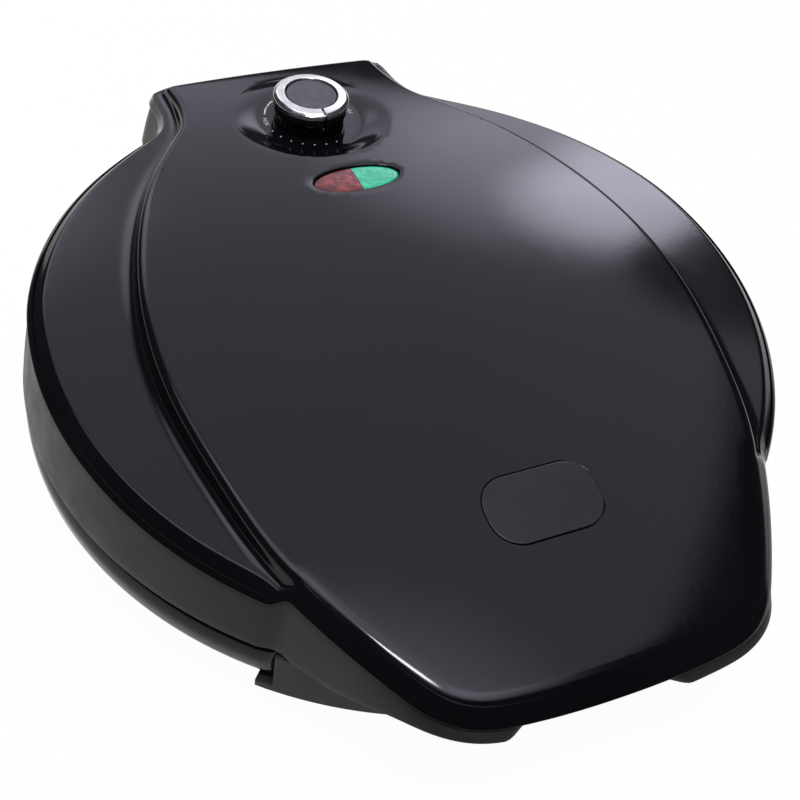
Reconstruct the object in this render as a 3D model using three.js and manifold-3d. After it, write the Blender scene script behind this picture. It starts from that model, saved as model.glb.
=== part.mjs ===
// Electric pizza maker: a round base with a hinged lid, an adjustable thermostat and two baking plates.
// Millimetres, +Z up. The front handle points to -Y and the hinge is at +Y.
// All pieces are laid out round the centre of the round body, with the feet on the plane z = 0.

import * as THREE from 'three';
import { mergeVertices } from 'three/addons/utils/BufferGeometryUtils.js';
import Module from 'manifold-3d';

// Driving dimensions

const clearance = 0.3;        // gap between pieces that touch
const overrun = 1;            // how far a cutter reaches past the face that it cuts
const seamHeight = 39.6;      // the seam between base and lid
const seamGap = 0.8;

const plate = {               // one baking plate, measured from its baking face towards its back
  faceRadius: 144, lipSlope: 5, lipWidth: 3.4, lipHeight: 8, flangeRun: 4.8, flangeDrop: 2.4,
  flangeThickness: 2.8, backTaper: 4.4, backInset: 1, thickness: 4, bossRadius: 5, bossBoreDepth: 7,
};
const ring = { wall: 2.6, ledgeRun: 5.8, ledgeThickness: 2.5 };   // the walls that carry the plates
const shell = { room: 9.9 };  // between the carrying wall and the round body's outside

const panel = {               // the raised shield on top of the lid; heights are over the wing's edge
  backReach: 10.7, frontReach: 23, halfWidth: 123.2, cornerRadius: 3,
  crownRise: 17.1, rise: 11.6, sag: 18.9, droop: 1.1, crossSag: 4.8,
};
// Half outline from the back corner to the middle of the front: shares of halfWidth, and of back or front
const panelOutlineShares = [
  [0.4505, 0.985], [0.452, 0.94], [0.456, 0.884], [0.495, 0.771], [0.574, 0.695], [0.75, 0.519],
  [0.883, 0.315], [0.972, 0.088], [1, -0.129], [0.962, -0.362], [0.894, -0.561], [0.79, -0.714],
  [0.641, -0.877], [0.566, -0.94], [0.475, -0.974], [0.3, -0.992], [0, -1],
];
// Rings between the panel's middle and its edge, on top and underneath
const spineShares = [0.28, 0.52, 0.74, 0.92];
const ceilingShares = [0.8, 0.4];

const wing = {                // the crescents on both sides of the panel
  lipInset: 1.8, rimRun: 7.2, backShare: 0.957, edgeRise: 40.8, rise: 10.4, sag: 7.2, slopeShare: 0.06,
  neckRun: 7.7, neckRim: 2, neckFillet: 12, tipFillet: 2.5, neckBlend: 40, backEdgeRun: 16,
};
// How squarely an edge faces the back where the wing ends and the plain edge begins
const backEdgeTurnShares = [0.35, 0.85];
const step = { rollRun: 2.2, rollDrop: 1.6, footRun: 5.5 };
const rim = { shoulderRun: 3.6, shoulderDrop: 2, lipDrop: 4.6, lipHeight: 1, leastFlat: 0.5, leastRoll: 1 };
const border = { run: 6.6, drop: 6.3, mergeRun: 4 };   // the rolled edge round the handle
const borderRollShares = [[0, 0], [0.33, 0.16], [0.67, 0.46], [0.85, 0.7], [0.94, 0.89], [1, 1]];
const cover = { wall: 2.5, wallInset: 1.6, lipWall: 2.5, bossRadius: 5, bossDepth: 9 };

const frame = {               // the satin skirt under the cover
  wall: 2.6, inset: 0.9, flare: 3.5, handleFlare: 2.6, handleRun: 47.3, handleSkirt: 4.6,
  scoopInset: 3.4, scoopRise: 1.2, scoopMiddle: -11, scoopHalfWidth: 28, scoopRun: 13,
  neckRun: 16, neckBlend: 12, neckRise: 12.4,
  webRise: 13.9, webThickness: 2.5, webInset: 2.3, floorThickness: 2.5, floorInset: 2.5, floorRun: 73.3,
  neckFloorRun: 31,
};

const bezel = {               // the glossy ring round the top of the base
  bulge: 1.3, topInset: 6.4, shoulderInset: 1.8, shoulderDrop: 2.2, crownDrop: 7,
  lowInset: 1, lowDrop: 15.5,
  turnInset: 4.1, turnDrop: 18.6, bottomInset: 8.6, height: 19.4, wall: 2.6,
};
const frontWall = {
  proud: 1.3, wall: 4.4, halfAngle: 41.4, flangeHalfAngle: 43.8, flangeHeight: 4, flangeRun: 16,
};
const housing = {
  topInset: 7, sideInset: 3.6, sideRise: 8, turnInset: 7, turnRise: 3.2, flatInset: 7, bottom: 5, wall: 2.6,
};
const rearBlock = { sideMargin: 3, frontInset: 11, backRun: 5, bottomRise: 3.5, eyeGap: 2, wall: 2.6 };
const hinge = {
  setBack: 11.7, rise: 0.4, pinRadius: 3, play: 0.35, eyeWall: 3.65, earInner: 36, eyeWidth: 8, sideGap: 1,
  webHalf: 6, pinOverhang: 1,
};
const foot = {
  edgeInset: 10.5, angle: 55.1, radius: 9, soleInset: 1, chamfer: 0.6, boreGap: 1, boreDepth: 3.6,
  recess: 1.9, padThickness: 2.6, padRadius: 11.7, postRadius: 3.4, postHeight: 7,
};
const footScrew = { headRadius: 3, headHeight: 1.8, shankRadius: 1.15, tipGap: 0.7 };

const plateScrew = { count: 3, firstAngle: 30, headRadius: 2.4, headHeight: 2, shankRadius: 1.3, depth: 1.8 };
const element = {
  radius: 3.3, gapAngle: 24, pinRadius: 1.3, pinLength: 14, leadLength: 10, sides: 8, steps: 36,
};
const clamp = { count: 3, thickness: 1.2, halfWidth: 6, toeRun: 8.4, heelRun: 6, bossRun: 21 };
const reflector = { thickness: 0.8, hole: 30, edgeRun: 0.8, rimRun: 4.4, rimRise: 5 };
const clampScrew = { headRadius: 3.2, headHeight: 2.1, shankRadius: 1.4, tipGap: 1 };
const fuse = { radius: 2.6, length: 17, capRadius: 1.2, capLength: 5, rimGap: 10, angle: 52 };

const dish = {
  backInset: 52.2, depth: 2.5, floorRadius: 27, wallRun: 11, wall: 2.5, shaftGap: 1.6, spill: 4,
};
const knob = {
  floorGap: 0.8, skirtRadius: 17.6, skirtHeight: 5.6, collarRadius: 18.4, collarHeight: 4.4, wall: 1.8,
  topWall: 2.8, socketWall: 2.3, capRadius: 12.3, capHeight: 2.9, capDip: 0.7,
  ringRadius: 18.7, ringHeight: 3.6, ringBevel: 1.7, ringInnerBevel: 0.7, ringGap: 0.4,
  pointerWidth: 1.3, pointerDepth: 0.7,
};
const shaft = { radius: 3, flat: 2.2, flatLength: 12 };
const thermostat = {
  footLength: 30, footWidth: 14, footThickness: 1.2, footHole: 3.75, bodyRadius: 7.5, bodyHeight: 15,
  waist: 6.2, waistHeight: 2, tabLength: 9, tabWidth: 5, tabThickness: 0.9,
};

const lens = { dishGap: 20.5, halfLength: 21.2, halfWidth: 8.6, recess: 0.7, dome: 0.5, belowWall: 1.9 };
const lampHolder = { wall: 2, floor: 2, height: 10.5, ledge: 2, septum: 1.2, grip: 0.9 };
const lamp = { radius: 2.8, spread: 9, tipGap: 0.7 };
const label = {
  y: -122, length: 51.6, width: 30.4, cornerRadius: 13, thickness: 0.8, recess: 1, slopeRun: 12,
};

const coverScrew = {
  handleX: 46, handleInset: 21.3, neckX: 30, neckInset: 10, headRadius: 3, headHeight: 1.8,
  shankRadius: 1.1,
  holeGap: 0.5, length: 9,
};
const gland = { radius: 8, collarWidth: 2, collar: 3, reach: 5, bore: 3.6, inner: 4 };
const terminalBlock = {
  length: 30, width: 14, height: 11, edgeInset: 19.4, pegRadius: 1.1, pegHeight: 4, notch: 3, ways: 3,
};

const facets = {
  round: 32, ring: 54, inner: 40, small: 12, hole: 6, outline: 54, backEdge: 4, corner: 2, arc: 14,
};

// Radii and places that follow from them

const lipInner = plate.faceRadius + plate.lipSlope;
const lipOuter = lipInner + plate.lipWidth;
const flangeRadius = lipOuter + plate.flangeRun;
const ringInner = flangeRadius + 2 * clearance;
const ringOuter = ringInner + ring.wall;
const ledgeInner = ringInner - ring.ledgeRun;
const lipRadius = ringOuter + shell.room;
const rimRadius = lipRadius - wing.lipInset;
const wingRadius = rimRadius - wing.rimRun;
const bezelRadius = lipRadius + bezel.bulge;
const frontRadius = bezelRadius + frontWall.proud;
const panelBack = lipRadius + panel.backReach;
const panelFront = lipRadius + panel.frontReach;
const wingEdge = seamHeight + wing.edgeRise;
const panelCrown = wingEdge + panel.crownRise;
const panelBackHalfWidth = panelOutlineShares[0][0] * panel.halfWidth;
const knobY = panelBack - dish.backInset;
const lensY = knobY - dish.floorRadius - dish.wallRun - lens.dishGap;

// Finishes

function finish(color, roughness, metalness) {
  return new THREE.MeshStandardMaterial({ color, roughness, metalness });
}

const glossBlack = finish(0x1b1b1e, 0.22, 0);
const satinGrey = finish(0x45463f, 0.5, 0);
const bakingCoat = finish(0x2a2a2b, 0.55, 0.3);
const steel = finish(0x9a9b9d, 0.38, 0.9);
const heaterSheath = finish(0x5c5a55, 0.5, 0.8);
const chrome = finish(0xd9d9da, 0.12, 1);
const darkSatin = finish(0x2e2e31, 0.5, 0);
const redLens = finish(0x8c2f28, 0.2, 0);
const greenLens = finish(0x35a878, 0.2, 0);
const ceramic = finish(0xd8d2c2, 0.7, 0);
const rubber = finish(0x1f1f1f, 0.85, 0);
const plainPlate = finish(0x29292d, 0.35, 0);
const nylon = finish(0xb9b8b0, 0.6, 0);
const neonGlass = finish(0xc9b9a8, 0.15, 0);

// Solids

const wasm = await Module();
wasm.setup();

const radians = THREE.MathUtils.degToRad;

function solid(geometry) {
  const bare = geometry.clone();
  bare.deleteAttribute('normal');
  bare.deleteAttribute('uv');
  const merged = mergeVertices(bare);
  const place = merged.attributes.position;
  const corners = merged.index.array;
  const kept = [];
  let volume = 0;
  const a = new THREE.Vector3();
  const b = new THREE.Vector3();
  const c = new THREE.Vector3();
  for (let i = 0; i < corners.length; i += 3) {
    const [p, q, r] = [corners[i], corners[i + 1], corners[i + 2]];
    if (p === q || q === r || r === p) continue;
    kept.push(p, q, r);
    a.fromBufferAttribute(place, p);
    b.fromBufferAttribute(place, q);
    c.fromBufferAttribute(place, r);
    volume += a.dot(b.cross(c));
  }
  if (volume < 0) kept.reverse();
  const vertProperties = new Float32Array(place.array);
  return new wasm.Manifold(new wasm.Mesh({ numProp: 3, vertProperties, triVerts: new Uint32Array(kept) }));
}

function geometryOf(body) {
  const result = body.getMesh();
  const geometry = new THREE.BufferGeometry();
  geometry.setAttribute('position', new THREE.BufferAttribute(new Float32Array(result.vertProperties), 3));
  geometry.setIndex(new THREE.BufferAttribute(new Uint32Array(result.triVerts), 1));
  geometry.computeVertexNormals();
  return geometry;
}

function joined(bodies) {
  return bodies.reduce((sum, body) => sum.add(body));
}

function piece(name, body, material) {
  const mesh = new THREE.Mesh(geometryOf(body), material);
  mesh.name = name;
  return mesh;
}

// A solid of revolution about Z; points are [radius, height]
function turned(points, segments = facets.round) {
  const profile = points.map(([radius, height]) => new THREE.Vector2(radius, height));
  return solid(new THREE.LatheGeometry(profile, segments).rotateX(radians(90)));
}

function ringTurned(points, segments = facets.ring) {
  return turned([...points, points[0]], segments);
}

function disc(radius, low, high, x = 0, y = 0, segments = facets.small) {
  const geometry = new THREE.CylinderGeometry(radius, radius, high - low, segments);
  return solid(geometry.rotateX(radians(90)).translate(x, y, (low + high) / 2));
}

function rod(radius, left, right, y, z, segments = facets.small) {
  const geometry = new THREE.CylinderGeometry(radius, radius, right - left, segments);
  return solid(geometry.rotateZ(radians(90)).translate((left + right) / 2, y, z));
}

function block([x0, x1], [y0, y1], [z0, z1]) {
  const geometry = new THREE.BoxGeometry(x1 - x0, y1 - y0, z1 - z0);
  return solid(geometry.translate((x0 + x1) / 2, (y0 + y1) / 2, (z0 + z1) / 2));
}

// A plan outline pulled up from low to high; points are [x, y]
function prism(points, low, high) {
  const shape = new THREE.Shape(points.map(([x, y]) => new THREE.Vector2(x, y)));
  const geometry = new THREE.ExtrudeGeometry(shape, { depth: high - low, bevelEnabled: false });
  return solid(geometry.translate(0, 0, low));
}

function ovalPoints(halfLength, halfWidth, count = facets.round / 2) {
  return Array.from({ length: count }, (_, i) => {
    const turn = (2 * Math.PI * i) / count;
    return [halfLength * Math.cos(turn), halfWidth * Math.sin(turn)];
  });
}

// A sector of a ring about Z, centred on -Y
function frontSector(inner, outer, halfAngle, low, high) {
  const steps = facets.arc;
  const arc = (radius, from, to) => Array.from({ length: steps + 1 }, (_, i) => {
    const angle = radians(from + ((to - from) * i) / steps);
    return [radius * Math.sin(angle), -radius * Math.cos(angle)];
  });
  return prism([...arc(inner, -halfAngle, halfAngle), ...arc(outer, halfAngle, -halfAngle)], low, high);
}

// A skin through closed rings of equal count, with a middle point at both ends; an endless skin
// joins its last ring to its first instead
function loft(rings, endless = false) {
  const count = rings[0].length;
  const points = rings.flat();
  const faces = [];
  const bands = endless ? rings.length : rings.length - 1;
  for (let k = 0; k < bands; k += 1) {
    const near = k * count;
    const far = ((k + 1) % rings.length) * count;
    for (let i = 0; i < count; i += 1) {
      const j = (i + 1) % count;
      faces.push(near + i, near + j, far + j, near + i, far + j, far + i);
    }
  }
  if (!endless) {
    const last = (rings.length - 1) * count;
    const middles = [rings[0], rings[rings.length - 1]].map((loop) => {
      const middle = new THREE.Vector3();
      loop.forEach((point) => middle.add(point));
      return middle.divideScalar(count);
    });
    const first = points.push(...middles) - 2;
    for (let i = 0; i < count; i += 1) {
      const j = (i + 1) % count;
      faces.push(first, j, i, first + 1, last + i, last + j);
    }
  }
  const geometry = new THREE.BufferGeometry();
  const places = points.flatMap((p) => [p.x, p.y, p.z]);
  geometry.setAttribute('position', new THREE.Float32BufferAttribute(places, 3));
  geometry.setIndex(faces);
  return solid(geometry);
}

// Heights of the lid's upper faces

function panelHeight(x, y) {
  const along = y / lipRadius;
  const across = x / panel.halfWidth;
  return panelCrown + panel.rise * along - panel.sag * along ** 2 - panel.droop * along ** 3
    - panel.crossSag * across ** 2;
}

function wingHeight(x, y) {
  const along = y / lipRadius;
  const inward = wingRadius - Math.hypot(x, y);
  return wingEdge + wing.rise * along - wing.sag * along ** 2 + wing.slopeShare * inward;
}

// The panel's outline, with an outward normal at each point

function smoothShare(low, high, value) {
  return THREE.MathUtils.smoothstep(value, low, high);
}

function roundedMax(a, b, fillet) {
  return (a + b + Math.sqrt((a - b) ** 2 + fillet ** 2)) / 2;
}

function panelOutline() {
  const half = panelOutlineShares.map(([widthShare, lengthShare]) => new THREE.Vector3(
    -widthShare * panel.halfWidth,
    lengthShare * (lengthShare > 0 ? panelBack : panelFront),
    0,
  ));
  const mirrored = half.slice(0, -1).reverse().map((p) => new THREE.Vector3(-p.x, p.y, 0));
  const curve = new THREE.CatmullRomCurve3([...half, ...mirrored], false, 'centripetal');
  const side = curve.getPoints(facets.outline);
  const r = panel.cornerRadius;
  const cornerArc = (sign) => Array.from({ length: facets.corner }, (_, i) => {
    const turn = ((i + 0.5) / facets.corner) * (Math.PI / 2);
    const centreX = panelBackHalfWidth - r;
    return new THREE.Vector3(sign * (centreX + r * Math.cos(turn)), panelBack - r + r * Math.sin(turn), 0);
  });
  const backEdge = Array.from({ length: facets.backEdge + 1 }, (_, i) => {
    const share = 1 - (2 * i) / facets.backEdge;
    return new THREE.Vector3(share * (panelBackHalfWidth - r), panelBack, 0);
  });
  return [...side, ...cornerArc(1), ...backEdge, ...cornerArc(-1).reverse()];
}

const outline = panelOutline().map((point, i, all) => {
  const before = all[(i + all.length - 1) % all.length];
  const after = all[(i + 1) % all.length];
  const out = new THREE.Vector3(after.y - before.y, before.x - after.x, 0).normalize();
  return { point, out };
});

function outwards({ point, out }, run) {
  return point.clone().addScaledVector(out, run);
}

// How far a point of the outline lies inside the lid's round edge, along its normal. The edge is a circle
// in front of the middle and a slightly flatter oval behind it.
function runToRound({ point, out }, radius) {
  const stretch = point.y > 0 ? 1 / wing.backShare : 1;
  const [y, outY] = [point.y * stretch, out.y * stretch];
  const scale = out.x ** 2 + outY ** 2;
  const along = (point.x * out.x + y * outY) / scale;
  const room = along ** 2 + (radius ** 2 - point.x ** 2 - y ** 2) / scale;
  return room > 0 ? Math.sqrt(room) - along : -along;
}

// What the lid's edge is like beside one point of the outline
const stations = outline.map((place) => {
  const { point, out } = place;
  const atBack = smoothShare(0, wing.neckBlend, point.y);
  const fillet = THREE.MathUtils.lerp(wing.tipFillet, wing.neckFillet, atBack);
  const leastWing = THREE.MathUtils.lerp(step.footRun, wing.neckRun, atBack);
  const leastLip = THREE.MathUtils.lerp(border.run, wing.neckRun + wing.neckRim, atBack);
  const roomToLip = runToRound(place, rimRadius);
  const wingRun = roundedMax(runToRound(place, wingRadius), leastWing, fillet);
  const lipRun = roundedMax(roomToLip, leastLip, fillet);
  const backEdge = point.y > panelBack - wing.backEdgeRun ? smoothShare(...backEdgeTurnShares, out.y) : 0;
  const merge = point.y > 0 ? 1 : smoothShare(0, border.mergeRun, roomToLip - border.run);
  const flatRun = Math.max(wingRun, step.footRun + rim.leastFlat);
  return {
    place,
    wingShare: merge * (1 - backEdge),
    wingRun: flatRun,
    lipRun: Math.max(lipRun, flatRun + rim.leastRoll),
  };
});

// One point of the cover's edge: its run from the panel's edge and its height, mixed from wing and handle
function edgePoint(station, handle, winged) {
  const { place, wingShare } = station;
  const point = outwards(place, THREE.MathUtils.lerp(handle.run, winged.run, wingShare));
  const panelEdge = panelHeight(place.point.x, place.point.y);
  const wingedHeight = winged.onPanel ? panelEdge - winged.drop : wingHeight(point.x, point.y) - winged.drop;
  point.z = THREE.MathUtils.lerp(panelEdge - handle.drop, wingedHeight, wingShare);
  return point;
}

const borderRoll = borderRollShares.map(([runShare, dropShare]) => (
  { run: runShare * border.run, drop: dropShare * border.drop }));
const borderLip = { run: border.run, drop: border.drop + rim.lipHeight };

const edgeRings = [
  (s) => edgePoint(s, borderRoll[0], { run: 0, drop: 0, onPanel: true }),
  (s) => edgePoint(s, borderRoll[1], { run: step.rollRun, drop: step.rollDrop, onPanel: true }),
  (s) => edgePoint(s, borderRoll[2], { run: step.footRun, drop: 0 }),
  (s) => edgePoint(s, borderRoll[3], { run: s.wingRun, drop: 0 }),
  (s) => edgePoint(s, borderRoll[4], {
    run: THREE.MathUtils.lerp(s.wingRun, s.lipRun, rim.shoulderRun / wing.rimRun), drop: rim.shoulderDrop,
  }),
  (s) => edgePoint(s, borderRoll[5], { run: s.lipRun, drop: rim.lipDrop }),
  (s) => edgePoint(s, borderLip, { run: s.lipRun, drop: rim.lipDrop + rim.lipHeight }),
];

const skirtTop = stations.map(edgeRings[edgeRings.length - 1]);

function panelRing(share, drop) {
  return outline.map(({ point }) => {
    const [x, y] = [point.x * share, point.y * share];
    return new THREE.Vector3(x, y, panelHeight(x, y) - drop);
  });
}

function coverShell() {
  const spine = spineShares.map((share) => panelRing(share, 0));
  const outer = [...spine, ...edgeRings.map((edge) => stations.map(edge))];
  const lip = skirtTop.map((point, i) => point.clone().addScaledVector(outline[i].out, -cover.lipWall));
  const inset = (edge) => stations.map((s) => {
    const point = edge(s).addScaledVector(s.place.out, -cover.wallInset);
    point.z -= cover.wall;
    return point;
  });
  const under = [3, 2, 0].map((k) => inset(edgeRings[k]));
  const shoulder = stations.map((s, i) => {
    const point = lip[i].clone();
    point.z = Math.max(edgeRings[4](s).z - cover.wall, point.z + rim.lipHeight / 2);
    return point;
  });
  const ceiling = ceilingShares.map((share) => panelRing(share, cover.wall));
  return loft([...outer, lip, shoulder, ...under, ...ceiling]);
}

// The dish round the knob

const dishFloor = panelHeight(0, knobY) - dish.depth;
const dishEdge = dish.floorRadius + dish.wallRun;

function dishRing(radius, height) {
  return Array.from({ length: facets.round }, (_, i) => {
    const turn = (2 * Math.PI * i) / facets.round;
    const [x, y] = [radius * Math.cos(turn), knobY + radius * Math.sin(turn)];
    return new THREE.Vector3(x, y, height(x, y));
  });
}

function dishCutter() {
  return loft([
    dishRing(dish.floorRadius, () => dishFloor),
    dishRing(dishEdge, panelHeight),
    dishRing(dishEdge, (x, y) => panelHeight(x, y) + dish.spill),
  ]);
}

function dishCup() {
  const outer = dish.wall;
  return loft([
    dishRing(dish.floorRadius + outer / 2, () => dishFloor - outer),
    dishRing(dishEdge + outer, (x, y) => panelHeight(x, y) - outer / 2),
  ]);
}

// The label's seat follows the slope of the panel

const labelSlope = (panelHeight(0, label.y + label.slopeRun) - panelHeight(0, label.y - label.slopeRun))
  / (2 * label.slopeRun);

function labelSolid(grow, low, high) {
  const [halfLength, halfWidth] = [label.length / 2 + grow, label.width / 2 + grow];
  const r = label.cornerRadius + grow;
  const shape = new THREE.Shape();
  shape.moveTo(-halfLength + r, -halfWidth);
  shape.lineTo(halfLength - r, -halfWidth);
  shape.absarc(halfLength - r, -halfWidth + r, r, -Math.PI / 2, 0);
  shape.absarc(halfLength - r, halfWidth - r, r, 0, Math.PI / 2);
  shape.absarc(-halfLength + r, halfWidth - r, r, Math.PI / 2, Math.PI);
  shape.absarc(-halfLength + r, -halfWidth + r, r, Math.PI, 1.5 * Math.PI);
  const pull = { depth: high - low, bevelEnabled: false, curveSegments: 6 };
  const geometry = new THREE.ExtrudeGeometry(shape, pull).translate(0, 0, low).rotateX(Math.atan(labelSlope));
  geometry.translate(0, label.y, panelHeight(0, label.y));
  return solid(geometry);
}

// Lamp window

const lensTop = panelHeight(0, lensY) - lens.recess;
const lensBottom = lensTop - cover.wall - lens.belowWall;

function ovalAt(halfLength, halfWidth, low, high) {
  return prism(ovalPoints(halfLength, halfWidth).map(([x, y]) => [x, y + lensY]), low, high);
}

// Lid frame: the skirt under the cover's lip

const lidBottom = seamHeight + seamGap / 2;
const baseTop = seamHeight - seamGap / 2;

// How far a point lies in the handle, from its root to the front edge
function handleShare({ y }) {
  return smoothShare(panelFront - frame.handleRun, panelFront, -y);
}

function scoopShare({ x, y }) {
  const off = Math.abs(x - frame.scoopMiddle);
  const middle = 1 - smoothShare(frame.scoopHalfWidth, frame.scoopHalfWidth + frame.scoopRun, off);
  return middle * handleShare({ y });
}

function skirtBottomHeight(top) {
  const underHandle = top.z - clearance - frame.handleSkirt + frame.scoopRise * scoopShare(top);
  const side = THREE.MathUtils.lerp(lidBottom, underHandle, handleShare(top));
  const neckStart = panelBack - frame.neckRun;
  const neck = smoothShare(neckStart - frame.neckBlend, neckStart + frame.neckBlend / 2, top.y);
  return THREE.MathUtils.lerp(side, seamHeight + frame.neckRise, neck);
}

function skirtFlare(top) {
  const handleRoot = panelFront - frame.handleRun;
  const forward = smoothShare(handleRoot - frame.scoopRun, handleRoot, -top.y);
  const plain = THREE.MathUtils.lerp(frame.flare, frame.handleFlare, forward);
  return THREE.MathUtils.lerp(plain, -frame.scoopInset, scoopShare(top));
}

function skirtRings() {
  const wall = frame.wall;
  const at = (run, height) => stations.map((s, i) => {
    const top = skirtTop[i];
    const point = top.clone().addScaledVector(s.place.out, run(top));
    point.z = height(top);
    return point;
  });
  const topHeight = (top) => top.z - clearance;
  const middleHeight = (top) => (top.z + skirtBottomHeight(top)) / 2;
  const scooped = (top) => Math.min(0, skirtFlare(top));
  const topRun = (top) => scooped(top) - frame.inset;
  const middleRun = (top) => topRun(top) + (skirtFlare(top) - scooped(top)) / 2 + frame.inset / 2;
  const bottomRun = (top) => skirtFlare(top);
  return [
    at(topRun, topHeight),
    at(middleRun, middleHeight),
    at(bottomRun, skirtBottomHeight),
    at((top) => bottomRun(top) - wall, skirtBottomHeight),
    at((top) => middleRun(top) - wall, middleHeight),
    at((top) => topRun(top) - wall, topHeight),
  ];
}

// What lies within the cover's outline, drawn in by some inset, between two levels
function withinSkirt(inset, low, high) {
  const points = skirtTop.map((top, i) => {
    const run = Math.min(0, skirtFlare(top)) - inset;
    const point = top.clone().addScaledVector(outline[i].out, run);
    return [point.x, point.y];
  });
  return prism(points, low, high);
}

// The level floor of the handle or the neck, in front of or behind a line
function levelFloor(low, high, keep) {
  return withinSkirt(frame.floorInset, low, high).intersect(keep);
}

const frameLevel = { low: seamHeight + frame.webRise, high: seamHeight + frame.webRise + frame.webThickness };
const frontLip = panelHeight(0, -panelFront) - border.drop - rim.lipHeight;
const handleLevel = { low: frontLip - clearance - frame.floorThickness, high: frontLip - clearance };
const wide = panelFront + panelBack;

const coverScrewPlaces = [
  [-coverScrew.handleX, coverScrew.handleInset - panelFront, handleLevel],
  [coverScrew.handleX, coverScrew.handleInset - panelFront, handleLevel],
  [-coverScrew.neckX, panelBack - coverScrew.neckInset, frameLevel],
  [coverScrew.neckX, panelBack - coverScrew.neckInset, frameLevel],
];

// Plates and the ledges that carry them

const lowerFace = baseTop - plate.lipHeight - clearance;
const upperFace = lidBottom + plate.lipHeight + clearance;
const ledgeDepth = clearance - plate.flangeDrop;
const lowerLedge = { low: lowerFace - ledgeDepth - ring.ledgeThickness, high: lowerFace - ledgeDepth };
const upperLedge = { low: upperFace + ledgeDepth, high: upperFace + ledgeDepth + ring.ledgeThickness };

const plateScrewPlaces = Array.from({ length: plateScrew.count }, (_, i) => {
  const turn = radians(plateScrew.firstAngle + (360 * i) / plateScrew.count);
  const circle = (lipOuter + flangeRadius) / 2;
  return [circle * Math.cos(turn), circle * Math.sin(turn)];
});

const plateScrewHole = plateScrew.shankRadius + clearance;

const hingeY = lipRadius + hinge.setBack;
const hingeHeight = seamHeight + hinge.rise;
const hingeBore = hinge.pinRadius + hinge.play;
const eyeRadius = hingeBore + hinge.eyeWall;
const earOuter = hinge.earInner + hinge.eyeWidth;
const knuckleInner = earOuter + hinge.sideGap;
const knuckleOuter = knuckleInner + hinge.eyeWidth;

// An eye round the hinge axis with a web from it up or down to a level, on one side of the middle plane
function hingeEye(side, inner, outer, back, level) {
  const [left, right] = [side * inner, side * outer].sort((a, b) => a - b);
  const [low, high] = [hingeHeight, level].sort((a, b) => a - b);
  const eye = rod(eyeRadius, left, right, hingeY, hingeHeight);
  return eye.add(block([left, right], [hingeY - hinge.webHalf, back], [low, high]));
}

function hingeHole() {
  return rod(hingeBore, -wide, wide, hingeY, hingeHeight);
}

function lidFrame() {
  const webRadius = lipRadius - frame.webInset;
  const web = ringTurned([
    [ringInner, lidBottom + clearance], [ringOuter, lidBottom + clearance],
    [ringOuter, frameLevel.low], [webRadius, frameLevel.low], [webRadius, frameLevel.high],
    [ringInner, frameLevel.high], [ringInner, upperLedge.high],
    [ledgeInner, upperLedge.high], [ledgeInner, upperLedge.low], [ringInner, upperLedge.low],
  ]).intersect(withinSkirt(0, 0, wide));
  const front = block([-wide, wide], [-wide, frame.floorRun - panelFront], [0, wide]);
  const back = block([-wide, wide], [panelBack - frame.neckFloorRun, wide], [0, wide]);
  const middle = disc(ringInner + ring.wall / 2, 0, wide, 0, 0, facets.ring);
  const handleFloor = levelFloor(handleLevel.low, handleLevel.high, front.subtract(middle));
  const neckFloor = levelFloor(frameLevel.low, frameLevel.high, back.subtract(middle));
  const webTop = frameLevel.low + frame.webThickness / 2;
  const knuckles = [-1, 1].map((side) => (
    hingeEye(side, knuckleInner, knuckleOuter, hingeY + hinge.webHalf, webTop)));
  const holes = [
    hingeHole(),
    ...coverScrewPlaces.map(([x, y, level]) => disc(coverScrew.shankRadius + coverScrew.holeGap,
      level.low - overrun, level.high + overrun, x, y, facets.hole)),
    ...plateScrewPlaces.map(([x, y]) => disc(plateScrewHole, upperLedge.low - overrun,
      upperLedge.high + overrun, x, y, facets.hole)),
  ];
  return joined([loft(skirtRings(), true), web, handleFloor, neckFloor, ...knuckles]).subtract(joined(holes));
}

function lidCover() {
  const bosses = coverScrewPlaces.map(([x, y, level]) => {
    const bottom = level.high + clearance;
    const top = panelHeight(x, y) - cover.wall / 2;
    const bore = disc(coverScrew.shankRadius + clearance, bottom - overrun, bottom + cover.bossDepth, x, y,
      facets.hole);
    return disc(cover.bossRadius, bottom, top, x, y).subtract(bore);
  });
  const slot = ovalAt(lens.halfLength + clearance, lens.halfWidth + clearance, lensBottom - overrun,
    lensTop + cover.wall);
  const shaftHole = disc(shaft.radius + dish.shaftGap, dishFloor - dish.wall - overrun, dishFloor + overrun,
    0, knobY);
  return joined([coverShell(), dishCup(), ...bosses])
    .subtract(joined([dishCutter(), slot, shaftHole, labelSolid(clearance, -label.recess, label.recess)]));
}

// One heated plate with what is fixed to its back, from the baking face (z = 0) backwards (+z)

const clampAngles = Array.from({ length: clamp.count }, (_, i) => 90 + (360 * i) / clamp.count);

const elementHeight = plate.thickness + clearance + element.radius;
const clampLevel = elementHeight + element.radius + clearance;
const reflectorLevel = clampLevel + clamp.thickness + clearance;
const screwLevel = reflectorLevel + reflector.thickness + clearance;
const bossTop = clampLevel - clearance;
const bossBottom = bossTop - plate.bossBoreDepth;

// The reflector ends just inside the thermostat, and what it covers lies inside its rim
const reflectorEdge = knobY - thermostat.bodyRadius - 2 * clearance;
const reflectorRim = reflectorEdge - reflector.thickness;
const reflectorFlat = reflectorRim - reflector.rimRun;
const clampToe = reflectorFlat - reflector.edgeRun;
const elementCircle = clampToe - clamp.toeRun;
const bossCircle = elementCircle - clamp.bossRun;

const bossPlaces = clampAngles.map((angle) => (
  [bossCircle * Math.cos(radians(angle)), bossCircle * Math.sin(radians(angle))]));

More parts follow.
